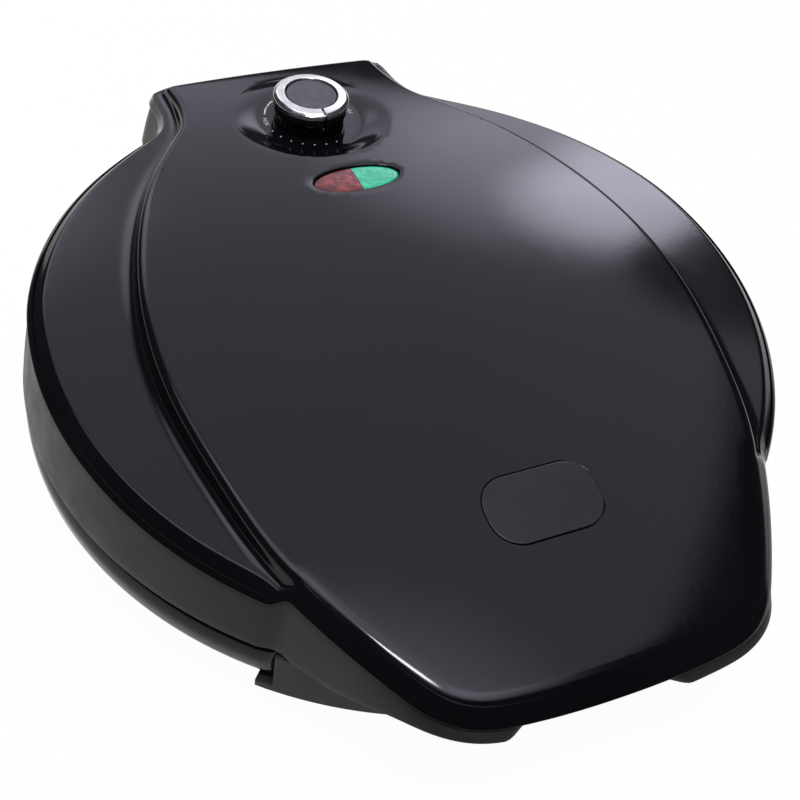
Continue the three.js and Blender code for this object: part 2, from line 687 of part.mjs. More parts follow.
function bakingPlate() {
  const flangeFront = -plate.flangeDrop - plate.flangeThickness;
  const backOuter = lipOuter - plate.backInset;
  const body = turned([
    [0, 0], [plate.faceRadius, 0], [lipInner, -plate.lipHeight], [lipOuter, -plate.lipHeight],
    [lipOuter, flangeFront], [flangeRadius, flangeFront], [flangeRadius, -plate.flangeDrop],
    [backOuter, -plate.flangeDrop], [backOuter - plate.backTaper, plate.thickness], [0, plate.thickness],
  ], facets.inner);
  const bosses = bossPlaces.map(([x, y]) => disc(plate.bossRadius, plate.thickness / 2, bossTop, x, y));
  const bores = bossPlaces.map(([x, y]) => (
    disc(clampScrew.shankRadius + clearance, bossBottom, bossTop + overrun, x, y, facets.hole)));
  const screwBoreTop = -plate.flangeDrop - plateScrew.depth;
  const screwBores = plateScrewPlaces.map(([x, y]) => (
    disc(plateScrewHole, screwBoreTop, overrun - plate.flangeDrop, x, y, facets.hole)));
  return joined([body, ...bosses]).subtract(joined([...bores, ...screwBores]));
}

// A heater loop: straight leads at both ends of an arc that is open at +Y
class HeaterPath extends THREE.Curve {
  getPoint(share) {
    const { leadLength } = element;
    const circle = elementCircle;
    const half = radians(180 - element.gapAngle);
    const arcLength = 2 * half * circle;
    const total = arcLength + 2 * leadLength;
    const travelled = share * total - leadLength;
    const turn = THREE.MathUtils.clamp(travelled / circle, 0, 2 * half) - half;
    const past = travelled < 0 ? travelled : Math.max(0, travelled - arcLength);
    const along = new THREE.Vector2(Math.cos(turn), Math.sin(turn));
    const [x, y] = [circle * Math.sin(turn), -circle * Math.cos(turn)];
    return new THREE.Vector3(x + past * along.x, y + past * along.y, elementHeight);
  }
}

function heatingElement() {
  const path = new HeaterPath();
  const section = new THREE.Shape(ovalPoints(element.radius, element.radius, element.sides)
    .map(([x, y]) => new THREE.Vector2(x, y)));
  const sweep = { extrudePath: path, steps: element.steps, bevelEnabled: false };
  const tube = solid(new THREE.ExtrudeGeometry(section, sweep));
  const pins = [0, 1].map((end) => {
    const start = path.getPoint(end);
    const inside = path.getPoint(end === 0 ? 1 / element.steps : 1 - 1 / element.steps);
    const away = start.clone().sub(inside).normalize();
    const centre = start.clone().addScaledVector(away, element.pinLength / 2 - overrun);
    const { pinRadius, pinLength } = element;
    const geometry = new THREE.CylinderGeometry(pinRadius, pinRadius, pinLength + overrun, facets.hole);
    geometry.applyQuaternion(new THREE.Quaternion().setFromUnitVectors(new THREE.Vector3(0, 1, 0), away));
    return solid(geometry.translate(centre.x, centre.y, centre.z));
  });
  return joined([tube, ...pins]);
}

function elementClamp(angle) {
  const { thickness, halfWidth, heelRun } = clamp;
  const top = clampLevel + thickness;
  const strap = block([bossCircle - heelRun, clampToe], [-halfWidth, halfWidth], [clampLevel, top]);
  const toe = block([clampToe - thickness, clampToe], [-halfWidth, halfWidth],
    [plate.thickness + clearance, top]);
  const opening = disc(clampScrew.shankRadius + clearance, clampLevel - overrun, top + overrun, bossCircle, 0,
    facets.hole);
  return strap.add(toe).subtract(opening).rotate([0, 0, angle]);
}

function heatReflector() {
  const { thickness, hole, rimRise } = reflector;
  const low = reflectorLevel;
  const body = ringTurned([
    [hole, low], [reflectorFlat, low], [reflectorRim, low - rimRise], [reflectorEdge, low - rimRise],
    [reflectorFlat + thickness / 2, low + thickness], [hole, low + thickness],
  ], facets.inner);
  const holes = bossPlaces.map(([x, y]) => disc(clampScrew.shankRadius + clearance, low - overrun,
    low + thickness + overrun, x, y, facets.hole));
  return body.subtract(joined(holes));
}

// A screw whose head rests on a level: the shank points to -z where down is 1, and to +z where it is -1
function screw([x, y], level, { headRadius, headHeight, shankRadius, length }, down = 1) {
  const [headLow, headHigh] = [level, level + down * headHeight].sort((a, b) => a - b);
  const shankEnds = [level - down * length, level + (down * headHeight) / 2];
  const [shankLow, shankHigh] = shankEnds.sort((a, b) => a - b);
  const head = disc(headRadius, headLow, headHigh, x, y);
  return head.add(disc(shankRadius, shankLow, shankHigh, x, y, facets.hole));
}

function thermalFuse() {
  const { radius, length, capRadius, capLength, rimGap, angle } = fuse;
  const circle = reflectorEdge + rimGap + radius;
  const height = plate.thickness + clearance + radius;
  const body = rod(radius, -length / 2, length / 2, 0, height);
  const leads = rod(capRadius, -length / 2 - capLength, length / 2 + capLength, 0, height, facets.hole);
  return body.add(leads).translate([0, -circle, 0]).rotate([0, 0, 180 - angle]);
}

function heaterStack(side) {
  const stack = new THREE.Group();
  stack.add(piece(`${side}_plate`, bakingPlate(), bakingCoat));
  stack.add(piece(`${side}_element`, heatingElement(), heaterSheath));
  stack.add(piece(`${side}_reflector`, heatReflector(), steel));
  clampAngles.forEach((angle, i) => {
    const length = screwLevel - bossBottom - clampScrew.tipGap;
    stack.add(piece(`${side}_clamp_${i + 1}`, elementClamp(angle), steel));
    const fastener = screw(bossPlaces[i], screwLevel, { ...clampScrew, length });
    stack.add(piece(`${side}_clamp_screw_${i + 1}`, fastener, steel));
  });
  plateScrewPlaces.forEach((place, i) => {
    const level = ledgeDepth + ring.ledgeThickness + clearance;
    const length = level + plate.flangeDrop + plateScrew.depth - clearance;
    stack.add(piece(`${side}_plate_screw_${i + 1}`, screw(place, level, { ...plateScrew, length }), steel));
  });
  stack.add(piece(`${side}_thermal_fuse`, thermalFuse(), ceramic));
  return stack;
}

// Base

const bezelBottom = baseTop - bezel.height;

function baseBezel() {
  const crown = baseTop - bezel.crownDrop;
  const innerTop = baseTop - bezel.wall;
  const outer = [
    [ringInner, baseTop - clearance], [bezelRadius - bezel.topInset, baseTop],
    [bezelRadius - bezel.shoulderInset, baseTop - bezel.shoulderDrop], [bezelRadius, crown],
    [bezelRadius - bezel.lowInset, baseTop - bezel.lowDrop],
    [bezelRadius - bezel.turnInset, baseTop - bezel.turnDrop],
    [bezelRadius - bezel.bottomInset + bezel.wall, bezelBottom],
    [bezelRadius - bezel.bottomInset, bezelBottom],
  ];
  const inner = [
    [bezelRadius - 1.5 * bezel.wall, crown], [bezelRadius - bezel.topInset - bezel.wall / 2, innerTop],
    [ringOuter, innerTop], [ringOuter, lowerLedge.low],
    [ledgeInner, lowerLedge.low], [ledgeInner, lowerLedge.high], [ringInner, lowerLedge.high],
  ];
  const notchHalfAngle = frontWall.halfAngle + THREE.MathUtils.radToDeg(clearance / frontRadius);
  const notch = frontSector(frontRadius - frontWall.wall - clearance, frontRadius + overrun, notchHalfAngle,
    bezelBottom - overrun, baseTop + overrun);
  const holes = plateScrewPlaces.map(([x, y]) => disc(plateScrewHole, lowerLedge.low - overrun,
    lowerLedge.high + overrun, x, -y, facets.hole));
  return ringTurned([...outer, ...inner]).subtract(joined([notch, ...holes]));
}

const housingTop = { radius: bezelRadius - housing.topInset, height: bezelBottom - clearance };
const housingSide = {
  radius: housingTop.radius - housing.sideInset,
  height: housing.bottom + housing.sideRise,
};
const housingTurn = {
  radius: housingSide.radius - housing.turnInset,
  height: housing.bottom + housing.turnRise,
};
const housingFlat = housingTurn.radius - housing.flatInset;
const housingFloor = housing.bottom + housing.wall;

const footCircle = housingFlat - foot.edgeInset;
const footPlaces = [[-1, -1], [1, -1], [-1, 1], [1, 1]].map(([sideX, sideY]) => (
  [sideX * footCircle * Math.cos(radians(foot.angle)), sideY * footCircle * Math.sin(radians(foot.angle))]));
const footScrewLevel = foot.boreDepth - clearance;
const footPostTop = housing.bottom + foot.postHeight;

const terminalY = housingFlat - terminalBlock.edgeInset;

const rear = {
  halfWidth: knuckleOuter + rearBlock.sideMargin,
  front: housingSide.radius - rearBlock.frontInset,
  back: hingeY + rearBlock.backRun,
  bottom: housing.bottom + rearBlock.bottomRise,
  top: hingeHeight - eyeRadius - rearBlock.eyeGap,
};
const glandHeight = (rear.bottom + rear.top) / 2;

function baseHousing() {
  const { bottom, wall } = housing;
  const top = housingTop.height;
  const bowl = turned([
    [0, bottom], [housingFlat, bottom], [housingTurn.radius, housingTurn.height],
    [housingSide.radius, housingSide.height], [housingTop.radius, top], [housingTop.radius - wall, top],
    [housingSide.radius - wall, housingSide.height], [housingFlat - wall, housingFloor], [0, housingFloor],
  ], facets.ring);
  const wallBottom = top - frontWall.flangeHeight;
  const flange = frontSector(frontRadius - frontWall.flangeRun, frontRadius, frontWall.flangeHalfAngle,
    wallBottom, top);
  const front = frontSector(frontRadius - frontWall.wall, frontRadius, frontWall.halfAngle,
    wallBottom, baseTop);
  const w = rearBlock.wall;
  const room = disc(frontRadius, top, wide, 0, 0, facets.ring);
  const box = block([-rear.halfWidth, rear.halfWidth], [rear.front, rear.back], [rear.bottom, rear.top]);
  const hollow = block([w - rear.halfWidth, rear.halfWidth - w], [rear.front - overrun, rear.back - w],
    [rear.bottom + w, rear.top - w]);
  const ears = [-1, 1].map((side) => hingeEye(side, hinge.earInner, earOuter, rear.back, rear.top - w / 2));
  const pads = footPlaces.map(([x, y]) => (
    disc(foot.padRadius, bottom, bottom + foot.recess + foot.padThickness, x, y)));
  const posts = footPlaces.map(([x, y]) => (
    disc(foot.postRadius, bottom + foot.recess, footPostTop + foot.padThickness, x, y)));
  const cuts = [
    hollow,
    hingeHole(),
    disc(gland.radius + clearance, 0, wide).rotate([-90, 0, 0]).translate([0, rear.front, glandHeight]),
    ...footPlaces.map(([x, y]) => (
      disc(foot.radius + clearance, bottom - overrun, bottom + foot.recess, x, y))),
    ...footPlaces.map(([x, y]) => disc(footScrew.shankRadius + clearance, bottom - overrun, footPostTop, x, y,
      facets.hole)),
    disc(terminalBlock.pegRadius + clearance, bottom - overrun, housingFloor + overrun, 0, terminalY,
      facets.hole),
  ];
  return joined([bowl, flange, front, box.subtract(room), ...ears, ...pads, ...posts]).subtract(joined(cuts));
}

function rubberFoot([x, y]) {
  const top = housing.bottom + foot.recess - clearance;
  const body = turned([
    [0, 0], [foot.radius - foot.soleInset, 0], [foot.radius, foot.chamfer], [foot.radius, top], [0, top],
  ], facets.small);
  const bore = disc(footScrew.headRadius + foot.boreGap, -overrun, foot.boreDepth);
  const hole = disc(footScrew.shankRadius + clearance, 0, top + overrun, 0, 0, facets.hole);
  return body.subtract(bore.add(hole)).translate([x, y, 0]);
}

function hingePin(side) {
  const ends = [hinge.earInner - hinge.pinOverhang, knuckleOuter + hinge.pinOverhang];
  const [left, right] = ends.map((end) => side * end).sort((a, b) => a - b);
  return rod(hinge.pinRadius, left, right, hingeY, hingeHeight);
}

function cordGland() {
  const { radius, collarWidth, collar, reach, bore, inner } = gland;
  const body = ringTurned([
    [bore, -rearBlock.wall - inner], [radius, -rearBlock.wall - inner], [radius, clearance],
    [radius + collarWidth, clearance], [radius + collarWidth, collar], [radius - clearance, reach],
    [bore, reach],
  ], facets.small);
  return body.rotate([-90, 0, 0]).translate([0, rear.back, glandHeight]);
}

function terminals() {
  const { length, width, height, pegRadius, pegHeight, notch, ways } = terminalBlock;
  const floor = housingFloor + clearance;
  const body = block([-length / 2, length / 2], [terminalY - width / 2, terminalY + width / 2],
    [floor, floor + height]);
  const pitch = length / ways;
  const cuts = Array.from({ length: ways }, (_, i) => {
    const x = (i + 1 / 2) * pitch - length / 2;
    return rod(notch, -width, width, 0, 0).rotate([0, 0, 90]).translate([x, terminalY, floor + height]);
  });
  const peg = disc(pegRadius, floor - pegHeight, floor + height / 2, 0, terminalY, facets.hole);
  return body.subtract(joined(cuts)).add(peg);
}

function baseGroup() {
  const group = new THREE.Group();
  group.add(piece('base_housing', baseHousing(), satinGrey));
  group.add(piece('base_bezel', baseBezel(), glossBlack));
  const stack = heaterStack('lower');
  stack.rotation.x = Math.PI;
  stack.position.z = lowerFace;
  group.add(stack);
  footPlaces.forEach((place, i) => {
    group.add(piece(`foot_${i + 1}`, rubberFoot(place), rubber));
    const length = footPostTop - footScrew.tipGap - footScrewLevel;
    const fastener = screw(place, footScrewLevel, { ...footScrew, length }, -1);
    group.add(piece(`foot_screw_${i + 1}`, fastener, steel));
  });
  group.add(piece('hinge_pin_left', hingePin(-1), steel));
  group.add(piece('hinge_pin_right', hingePin(1), steel));
  group.add(piece('cord_gland', cordGland(), rubber));
  group.add(piece('terminal_block', terminals(), nylon));
  return group;
}

// Thermostat and lamps

const plateBack = upperFace + plate.thickness;

function thermostatFoot() {
  const { footLength, footWidth, footThickness, footHole } = thermostat;
  const low = plateBack + clearance;
  const y = knobY;
  const strip = block([-footLength / 2, footLength / 2], [y - footWidth / 2, y + footWidth / 2],
    [low, low + footThickness]);
  return strip.subtract(disc(footHole, low - overrun, low + footThickness + overrun, 0, y));
}

function thermostatBody() {
  const { bodyRadius, bodyHeight, waist, waistHeight, footThickness } = thermostat;
  const { tabLength, tabWidth, tabThickness } = thermostat;
  const low = plateBack + 2 * clearance + footThickness;
  const middle = bodyHeight / 2;
  const body = turned([
    [0, 0], [bodyRadius, 0], [bodyRadius, middle - waistHeight], [waist, middle - waistHeight],
    [waist, middle + waistHeight], [bodyRadius, middle + waistHeight], [bodyRadius, bodyHeight],
    [0, bodyHeight],
  ], facets.small).translate([0, knobY, low]);
  const tabReach = bodyRadius + tabLength;
  const tab = block([-tabReach, tabReach], [knobY - tabWidth / 2, knobY + tabWidth / 2],
    [low + middle - tabThickness / 2, low + middle + tabThickness / 2]);
  return body.add(tab);
}

const shaftBottom = plateBack + 3 * clearance + thermostat.footThickness + thermostat.bodyHeight;
const knobBottom = dishFloor + knob.floorGap;
const collarTop = knobBottom + knob.skirtHeight + knob.collarHeight;
const socketTop = collarTop - knob.wall - clearance;

function thermostatShaft() {
  const top = socketTop - clearance;
  const y = knobY;
  const reach = shaft.radius + overrun;
  const flat = block([shaft.flat, reach], [y - reach, y + reach], [top - shaft.flatLength, top + overrun]);
  return disc(shaft.radius, shaftBottom, top, 0, y).subtract(flat);
}

const lampHolderTop = lensBottom + lampHolder.grip;
const lampHolderBottom = lampHolderTop - lampHolder.height;

function lampHolderBody() {
  const { wall, floor, ledge, septum } = lampHolder;
  const [long, short] = [lens.halfLength + clearance, lens.halfWidth + clearance];
  const outer = ovalAt(long + wall, short + wall, lampHolderBottom, lampHolderTop);
  const seat = ovalAt(long, short, lensBottom - clearance, lampHolderTop + overrun);
  const well = ovalAt(long - ledge, short - ledge, lampHolderBottom + floor, lampHolderTop + overrun);
  const bridge = block([-septum / 2, septum / 2], [lensY - short, lensY + short],
    [lampHolderBottom + floor / 2, lensBottom - clearance]);
  return outer.subtract(seat.add(well)).add(bridge);
}

function neonLamp(side) {
  const bottom = lampHolderBottom + lampHolder.floor + clearance;
  const height = lensBottom - lamp.tipGap - bottom;
  const { radius } = lamp;
  const bulb = turned([
    [0, 0], [radius, 0], [radius, height - radius], [radius / 2, height - radius / 4], [0, height],
  ], facets.small);
  return bulb.translate([side * lamp.spread, lensY, bottom]);
}

function lensHalf(side) {
  const { halfLength, halfWidth, dome } = lens;
  const slab = ovalAt(halfLength, halfWidth, lensBottom, lensTop - dome);
  const crown = ovalAt(halfLength - dome * 2, halfWidth - dome * 2, lensTop - dome - dome, lensTop);
  const [left, right] = [(side * clearance) / 2, side * wide].sort((a, b) => a - b);
  return slab.add(crown).intersect(block([left, right], [0, wide], [0, wide]));
}

// Knob

function knobBody() {
  const { skirtRadius, skirtHeight, collarRadius, wall, topWall, socketWall } = knob;
  const low = knobBottom;
  const socketRadius = shaft.radius + clearance + socketWall;
  const body = ringTurned([
    [socketRadius, low], [socketRadius, collarTop - topWall], [skirtRadius - wall, collarTop - topWall],
    [skirtRadius - wall, low], [skirtRadius, low], [skirtRadius, low + skirtHeight],
    [collarRadius, low + skirtHeight], [collarRadius, collarTop], [0, collarTop], [0, low],
  ], facets.round);
  const bore = disc(shaft.radius + clearance, low - overrun, socketTop, 0, 0);
  const reach = shaft.radius + overrun;
  const key = block([shaft.flat + clearance, reach], [-reach, reach],
    [socketTop - shaft.flatLength, socketTop + clearance]);
  return body.subtract(bore.subtract(key)).subtract(pointerGroove()).translate([0, knobY, 0]);
}

function pointerGroove() {
  const { pointerWidth, pointerDepth, collarRadius, ringRadius } = knob;
  return block([-pointerWidth / 2, pointerWidth / 2], [-ringRadius - overrun, pointerDepth - collarRadius],
    [knobBottom + knob.skirtHeight - overrun, collarTop + knob.ringHeight + overrun]);
}

function knobRing() {
  const { ringRadius, ringHeight, ringBevel, ringInnerBevel, pointerWidth, pointerDepth } = knob;
  const ringInner = knob.capRadius + knob.ringGap;
  const low = collarTop + clearance;
  const high = low + ringHeight;
  const body = ringTurned([
    [ringInner, low], [ringRadius, low], [ringRadius, high - ringBevel],
    [ringRadius - ringBevel, high - ringInnerBevel / 2], [ringInner + ringInnerBevel, high],
    [ringInner, high - ringInnerBevel],
  ], facets.round);
  const groove = block([-pointerWidth / 2, pointerWidth / 2], [-ringRadius - overrun, -ringInner + overrun],
    [high - ringInnerBevel / 2 - pointerDepth, high + overrun]);
  return body.subtract(groove.add(pointerGroove())).translate([0, knobY, 0]);
}

function knobCap() {
  const low = collarTop + clearance;
  const { capRadius, capHeight, capDip } = knob;
  const cap = turned([
    [0, low], [capRadius, low], [capRadius, low + capHeight], [capRadius - capDip, low + capHeight],
    [capRadius / 2, low + capHeight - capDip], [0, low + capHeight - capDip],
  ], facets.round);
  return cap.translate([0, knobY, 0]);
}

function lidGroup() {
  const group = new THREE.Group();
  group.add(piece('lid_cover', lidCover(), glossBlack));
  group.add(piece('lid_frame', lidFrame(), satinGrey));
  const stack = heaterStack('upper');
  stack.position.z = upperFace;
  group.add(stack);
  coverScrewPlaces.forEach(([x, y, level], i) => {
    group.add(piece(`cover_screw_${i + 1}`, screw([x, y], level.low - clearance, coverScrew, -1), steel));
  });
  group.add(piece('thermostat_bracket', thermostatFoot(), steel));
  group.add(piece('thermostat_body', thermostatBody(), ceramic));
  group.add(piece('lamp_holder', lampHolderBody(), nylon));
  group.add(piece('lamp_red', neonLamp(-1), neonGlass));
  group.add(piece('lamp_green', neonLamp(1), neonGlass));
  group.add(piece('lens_red', lensHalf(-1), redLens));
  group.add(piece('lens_green', lensHalf(1), greenLens));
  const seat = clearance - label.recess;
  group.add(piece('label_plate', labelSolid(0, seat, seat + label.thickness), plainPlate));
  return group;
}

function knobGroup() {
  const group = new THREE.Group();
  group.add(piece('thermostat_shaft', thermostatShaft(), steel));
  group.add(piece('knob_body', knobBody(), glossBlack));
  group.add(piece('knob_ring', knobRing(), chrome));
  group.add(piece('knob_cap', knobCap(), darkSatin));
  return group;
}

// The origin lies under the middle of the whole object's length

const pizzaMaker = new THREE.Group();
pizzaMaker.add(baseGroup(), lidGroup(), knobGroup());
const backReach = rear.back + gland.reach;
const frontReach = panelFront + border.run;
pizzaMaker.position.y = (frontReach - backReach) / 2;

export default pizzaMaker;
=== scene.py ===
"""Electric pizza maker: the looks of the object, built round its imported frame.

Shapes are worked out in millimetres from the middle of the round body. They go to metres when a mesh
is made.
"""

import math
from math import cos, hypot, pi, radians, sin, sqrt

import bmesh
import bpy
import numpy as np
from mathutils import Matrix, Vector
from mathutils.geometry import delaunay_2d_cdt


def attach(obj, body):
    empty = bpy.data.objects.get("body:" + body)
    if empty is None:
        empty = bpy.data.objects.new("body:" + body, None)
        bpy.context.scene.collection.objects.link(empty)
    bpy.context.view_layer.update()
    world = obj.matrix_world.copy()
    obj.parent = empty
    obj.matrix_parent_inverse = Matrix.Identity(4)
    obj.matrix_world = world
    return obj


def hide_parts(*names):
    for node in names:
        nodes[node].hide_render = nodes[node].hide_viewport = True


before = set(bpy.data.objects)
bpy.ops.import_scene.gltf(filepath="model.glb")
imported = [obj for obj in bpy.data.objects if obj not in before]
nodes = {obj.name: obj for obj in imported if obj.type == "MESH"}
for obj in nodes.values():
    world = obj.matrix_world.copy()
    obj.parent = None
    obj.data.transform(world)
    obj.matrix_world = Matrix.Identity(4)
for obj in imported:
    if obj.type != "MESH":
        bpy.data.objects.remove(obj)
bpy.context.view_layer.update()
scene = bpy.context.scene

MM = 0.001
SHIFT_Y = 3.95  # from the middle of the round body to the middle of the whole length


def place(point):
    return (point[0] * MM, (point[1] + SHIFT_Y) * MM, point[2] * MM)


# Camera: its place in millimetres, its directions and its lens, fitted to the photo

STAND = (-255.43, -409.33, 499.12)
RIGHTWARDS, FORWARDS = Vector((0.89996, -0.41594, 0.13059)), Vector((0.37926, 0.59924, -0.70503))
FOCAL, SENSOR, SHIFT = 63.96, 36, (-0.00475, -0.00125)

lens_data = bpy.data.cameras.new("camera")
lens_data.lens = FOCAL
lens_data.sensor_width = SENSOR
lens_data.shift_x, lens_data.shift_y = SHIFT
lens_data.clip_start = 0.01
camera = bpy.data.objects.new("camera", lens_data)
scene.collection.objects.link(camera)
back = -FORWARDS.normalized()
up = back.cross(RIGHTWARDS.normalized()).normalized()
right = up.cross(back).normalized()
camera.matrix_world = Matrix.Translation(place(STAND)) @ Matrix((right, up, back)).transposed().to_4x4()
scene.camera = camera
scene.view_settings.view_transform = "Standard"

# Sizes, in millimetres

CLEARANCE = 0.3
LID_BOTTOM = 40.0
LIP_RADIUS, RIM_RADIUS, WING_RADIUS, FRONT_RADIUS = 170.3, 168.5, 161.3, 172.9
FRONT_WALL = 4.4
RING_INNER, RING_OUTER, LEDGE_INNER = 157.8, 160.4, 152
BACK_SHARE = 0.957  # how much flatter the lid's round edge is behind the middle
WEB_RADIUS = 168.3
PANEL_BACK, PANEL_FRONT, HALF_WIDTH = 181.0, 193.3, 123.2
BACK_HALF_WIDTH, CORNER_RADIUS = 0.4505 * HALF_WIDTH, 3.0
WING_EDGE, CROWN = 80.4, 97.5
KNOB_Y, LENS_Y, LABEL_Y = 128.8, 70.3, -122.0
LENS_LENGTH, LENS_WIDTH = 21.5, 8.9  # half sizes of the lamp recess
HINGE_Y, HINGE_Z = 182.0, 40.0
UPPER_FACE, LOWER_FACE = 48.3, 30.9
DISH_FLOOR_RADIUS, DISH_RUN, DISH_DEPTH = 27.0, 11.0, 2.5

# The panel's outline from its back corner to its front: shares of the half width, and of the length
# from the middle to the back or to the front
OUTLINE_SHARES = [
    (0.4505, 0.985), (0.452, 0.94), (0.456, 0.884), (0.495, 0.771), (0.574, 0.695), (0.75, 0.519),
    (0.883, 0.315), (0.972, 0.088), (1, -0.129), (0.962, -0.362), (0.894, -0.561), (0.79, -0.714),
    (0.641, -0.877), (0.566, -0.94), (0.475, -0.974), (0.3, -0.992), (0, -1),
]


def panel_height(x, y):
    a = y / LIP_RADIUS
    return CROWN + 11.6 * a - 18.9 * a**2 - 1.1 * a**3 - 4.8 * (x / HALF_WIDTH) ** 2


def wing_height(x, y):
    a = y / LIP_RADIUS
    return WING_EDGE + 10.4 * a - 7.2 * a**2 + 0.06 * (WING_RADIUS - np.hypot(x, y))


def smooth(low, high, value):
    t = np.clip((value - low) / (high - low), 0, 1)
    return t * t * (3 - 2 * t)


def mix(a, b, share):
    return a + (b - a) * share


def polar(radius, angle, x=0.0, y=0.0):
    """A point of a circle round (x, y)."""
    return (x + radius * cos(angle), y + radius * sin(angle))


def turns_of(steps):
    return [2 * pi * i / steps for i in range(steps)]


def shares(steps):
    """From 0 to 1 in even steps, both included."""
    return [i / steps for i in range(steps + 1)]


def subdivided(points, spacing, wanted, closed=False):
    """A profile with more points on the stretches that are wanted, about a spacing apart."""
    fine = []
    following = points[1:] + points[:1] if closed else points[1:]
    for (r0, z0), (r1, z1) in zip(points, following):
        parts = max(1, int(hypot(r1 - r0, z1 - z0) / spacing)) if wanted(r0, z0, r1, z1) else 1
        fine += [(mix(r0, r1, k / parts), mix(z0, z1, k / parts)) for k in range(parts)]
    return fine if closed else fine + points[-1:]


# Mesh helpers

collection = scene.collection
BEVEL_ANGLE = 35


def make(name, skin, body, look, replaces=(), sharp=40, bevel=0, weld=1e-6):
    """A named piece that rides on a body, with smooth faces and sharp edges kept."""
    mesh = bpy.data.meshes.new(name)
    mesh.from_pydata([place(v) for v in skin.verts], [], skin.faces)
    bm = bmesh.new()
    bm.from_mesh(mesh)
    bmesh.ops.remove_doubles(bm, verts=bm.verts, dist=weld)
    bmesh.ops.dissolve_degenerate(bm, edges=bm.edges, dist=1e-7)
    bmesh.ops.recalc_face_normals(bm, faces=bm.faces)
    for face in bm.faces:
        face.smooth = True
    bm.to_mesh(mesh)
    bm.free()
    mesh.set_sharp_from_angle(angle=radians(sharp))
    piece = bpy.data.objects.new(name, mesh)
    collection.objects.link(piece)
    if bevel:
        modifier = piece.modifiers.new("edges", "BEVEL")
        modifier.width = bevel * MM
        modifier.segments = 3
        modifier.limit_method = "ANGLE"
        modifier.angle_limit = radians(BEVEL_ANGLE)
        modifier.harden_normals = True
    mesh.materials.append(looks[look])
    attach(piece, body)
    if replaces:
        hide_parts(*replaces)


class Skin:
    """Points and faces of one piece, gathered from several surfaces."""

    def __init__(self):
        self.verts = []
        self.faces = []

    def add(self, verts, faces):
        start = len(self.verts)
        self.verts.extend([tuple(map(float, v)) for v in verts])
        self.faces.extend([tuple(int(i) + start for i in f) for f in faces])
        return self

    def grid(self, rows, around=True, endless=False):
        """Quads between rows of points of equal count."""
        count = len(rows[0])
        faces = []
        bands = len(rows) if endless else len(rows) - 1
        for k in range(bands):
            near, far = k * count, ((k + 1) % len(rows)) * count
            for i in range(count if around else count - 1):
                j = (i + 1) % count
                faces.append((near + i, near + j, far + j, far + i))
        return self.add([p for row in rows for p in row], faces)

    def lathe(self, profile, steps, x=0.0, y=0.0, endless=False):
        """A surface of revolution about a vertical line; the profile is of (radius, height)."""
        rows = [[(*polar(r, t, x, y), z) for t in turns_of(steps)] for r, z in profile]
        return self.grid(rows, endless=endless)

    def clipped(self, profile, ways):
        """A closed profile of (radius, height) swept about Z; the ways are of (angle, largest radius)."""
        rows = [[(*polar(min(r, far), t), z) for t, far in ways] for r, z in profile]
        return self.grid(rows, endless=True)

    def slab(self, low, high):
        """A closed solid between two loops of points."""
        count = len(low)
        faces = [tuple(reversed(range(count))), tuple(range(count, 2 * count))]
        faces += [(i, (i + 1) % count, count + (i + 1) % count, count + i) for i in range(count)]
        return self.add(low + high, faces)

    def prism(self, outline, low, high):
        """A prism along Z; the outline is of (x, y)."""
        return self.slab([(x, y, low) for x, y in outline], [(x, y, high) for x, y in outline])

    def across(self, outline, left, right_):
        """A prism along X; the outline is of (y, z)."""
        return self.slab([(left, y, z) for y, z in outline], [(right_, y, z) for y, z in outline])

    def cap(self, *loops):
        """Flat faces over closed loops of points."""
        for loop in loops:
            self.add(loop, [tuple(range(len(loop)))])
        return self

    def sector(self, outline, half_angle, steps=56):
        """A closed profile of (radius, height) swept about Z, centred on -Y, with flat ends."""
        turns = [radians(mix(-half_angle, half_angle, t)) for t in shares(steps)]
        rows = [[(r * sin(t), -r * cos(t), z) for t in turns] for r, z in outline]
        self.grid(rows, around=False, endless=True)
        return self.cap([row[0] for row in rows], [row[-1] for row in rows])


def bezier(a, b, c, t):
    return (1 - t) ** 2 * a + 2 * t * (1 - t) * b + t * t * c


MOST_TRIM = 0.46  # how much of a side a rounded corner may take


def rounded(points, radii, closed=False, steps=5):
    """A polyline of (a, b) with its corners rounded, each by its own radius."""
    pts = [np.array(p, float) for p in points]
    count = len(pts)
    out = []
    for i, p in enumerate(pts):
        if (not closed and i in (0, count - 1)) or radii[i] <= 0:
            out.append(tuple(p))
            continue
        a, b = pts[i - 1] - p, pts[(i + 1) % count] - p
        la, lb = np.linalg.norm(a), np.linalg.norm(b)
        ua, ub = a / la, b / lb
        angle = math.acos(float(np.clip(ua @ ub, -1, 1)))
        trim = min(radii[i] / max(math.tan(angle / 2), 1e-3), MOST_TRIM * la, MOST_TRIM * lb)
        start, end = p + ua * trim, p + ub * trim
        out += [tuple(bezier(start, p, end, t)) for t in shares(steps)]
    return out


def curve_point(points, t):
    """A point of a smooth curve through points of (a, b), of which the two ends only steer; t starts at 0."""
    t = min(max(t, 0.0), len(points) - 3 - 1e-6)
    i = int(t)
    f = t - i
    p0, p1, p2, p3 = (np.array(p, float) for p in points[i:i + 4])
    return 0.5 * (2 * p1 + (p2 - p0) * f + (2 * p0 - 5 * p1 + 4 * p2 - p3) * f**2
                  + (3 * p1 - p0 - 3 * p2 + p3) * f**3)


def steered(points):
    """Points with one more at both ends, straight on."""
    return np.vstack([2 * points[0] - points[1], points, 2 * points[-1] - points[-2]])


def spline(points, steps):
    """An open curve through points of (a, b), with evenly spread parameters."""
    ext = steered(np.array(points, float))
    return [tuple(curve_point(ext, k / steps)) for k in range((len(points) - 1) * steps)] + points[-1:]


def oval(half_length, half_width, count, y=0.0):
    return [(half_length * cos(t), y + half_width * sin(t)) for t in turns_of(count)]


# Looks


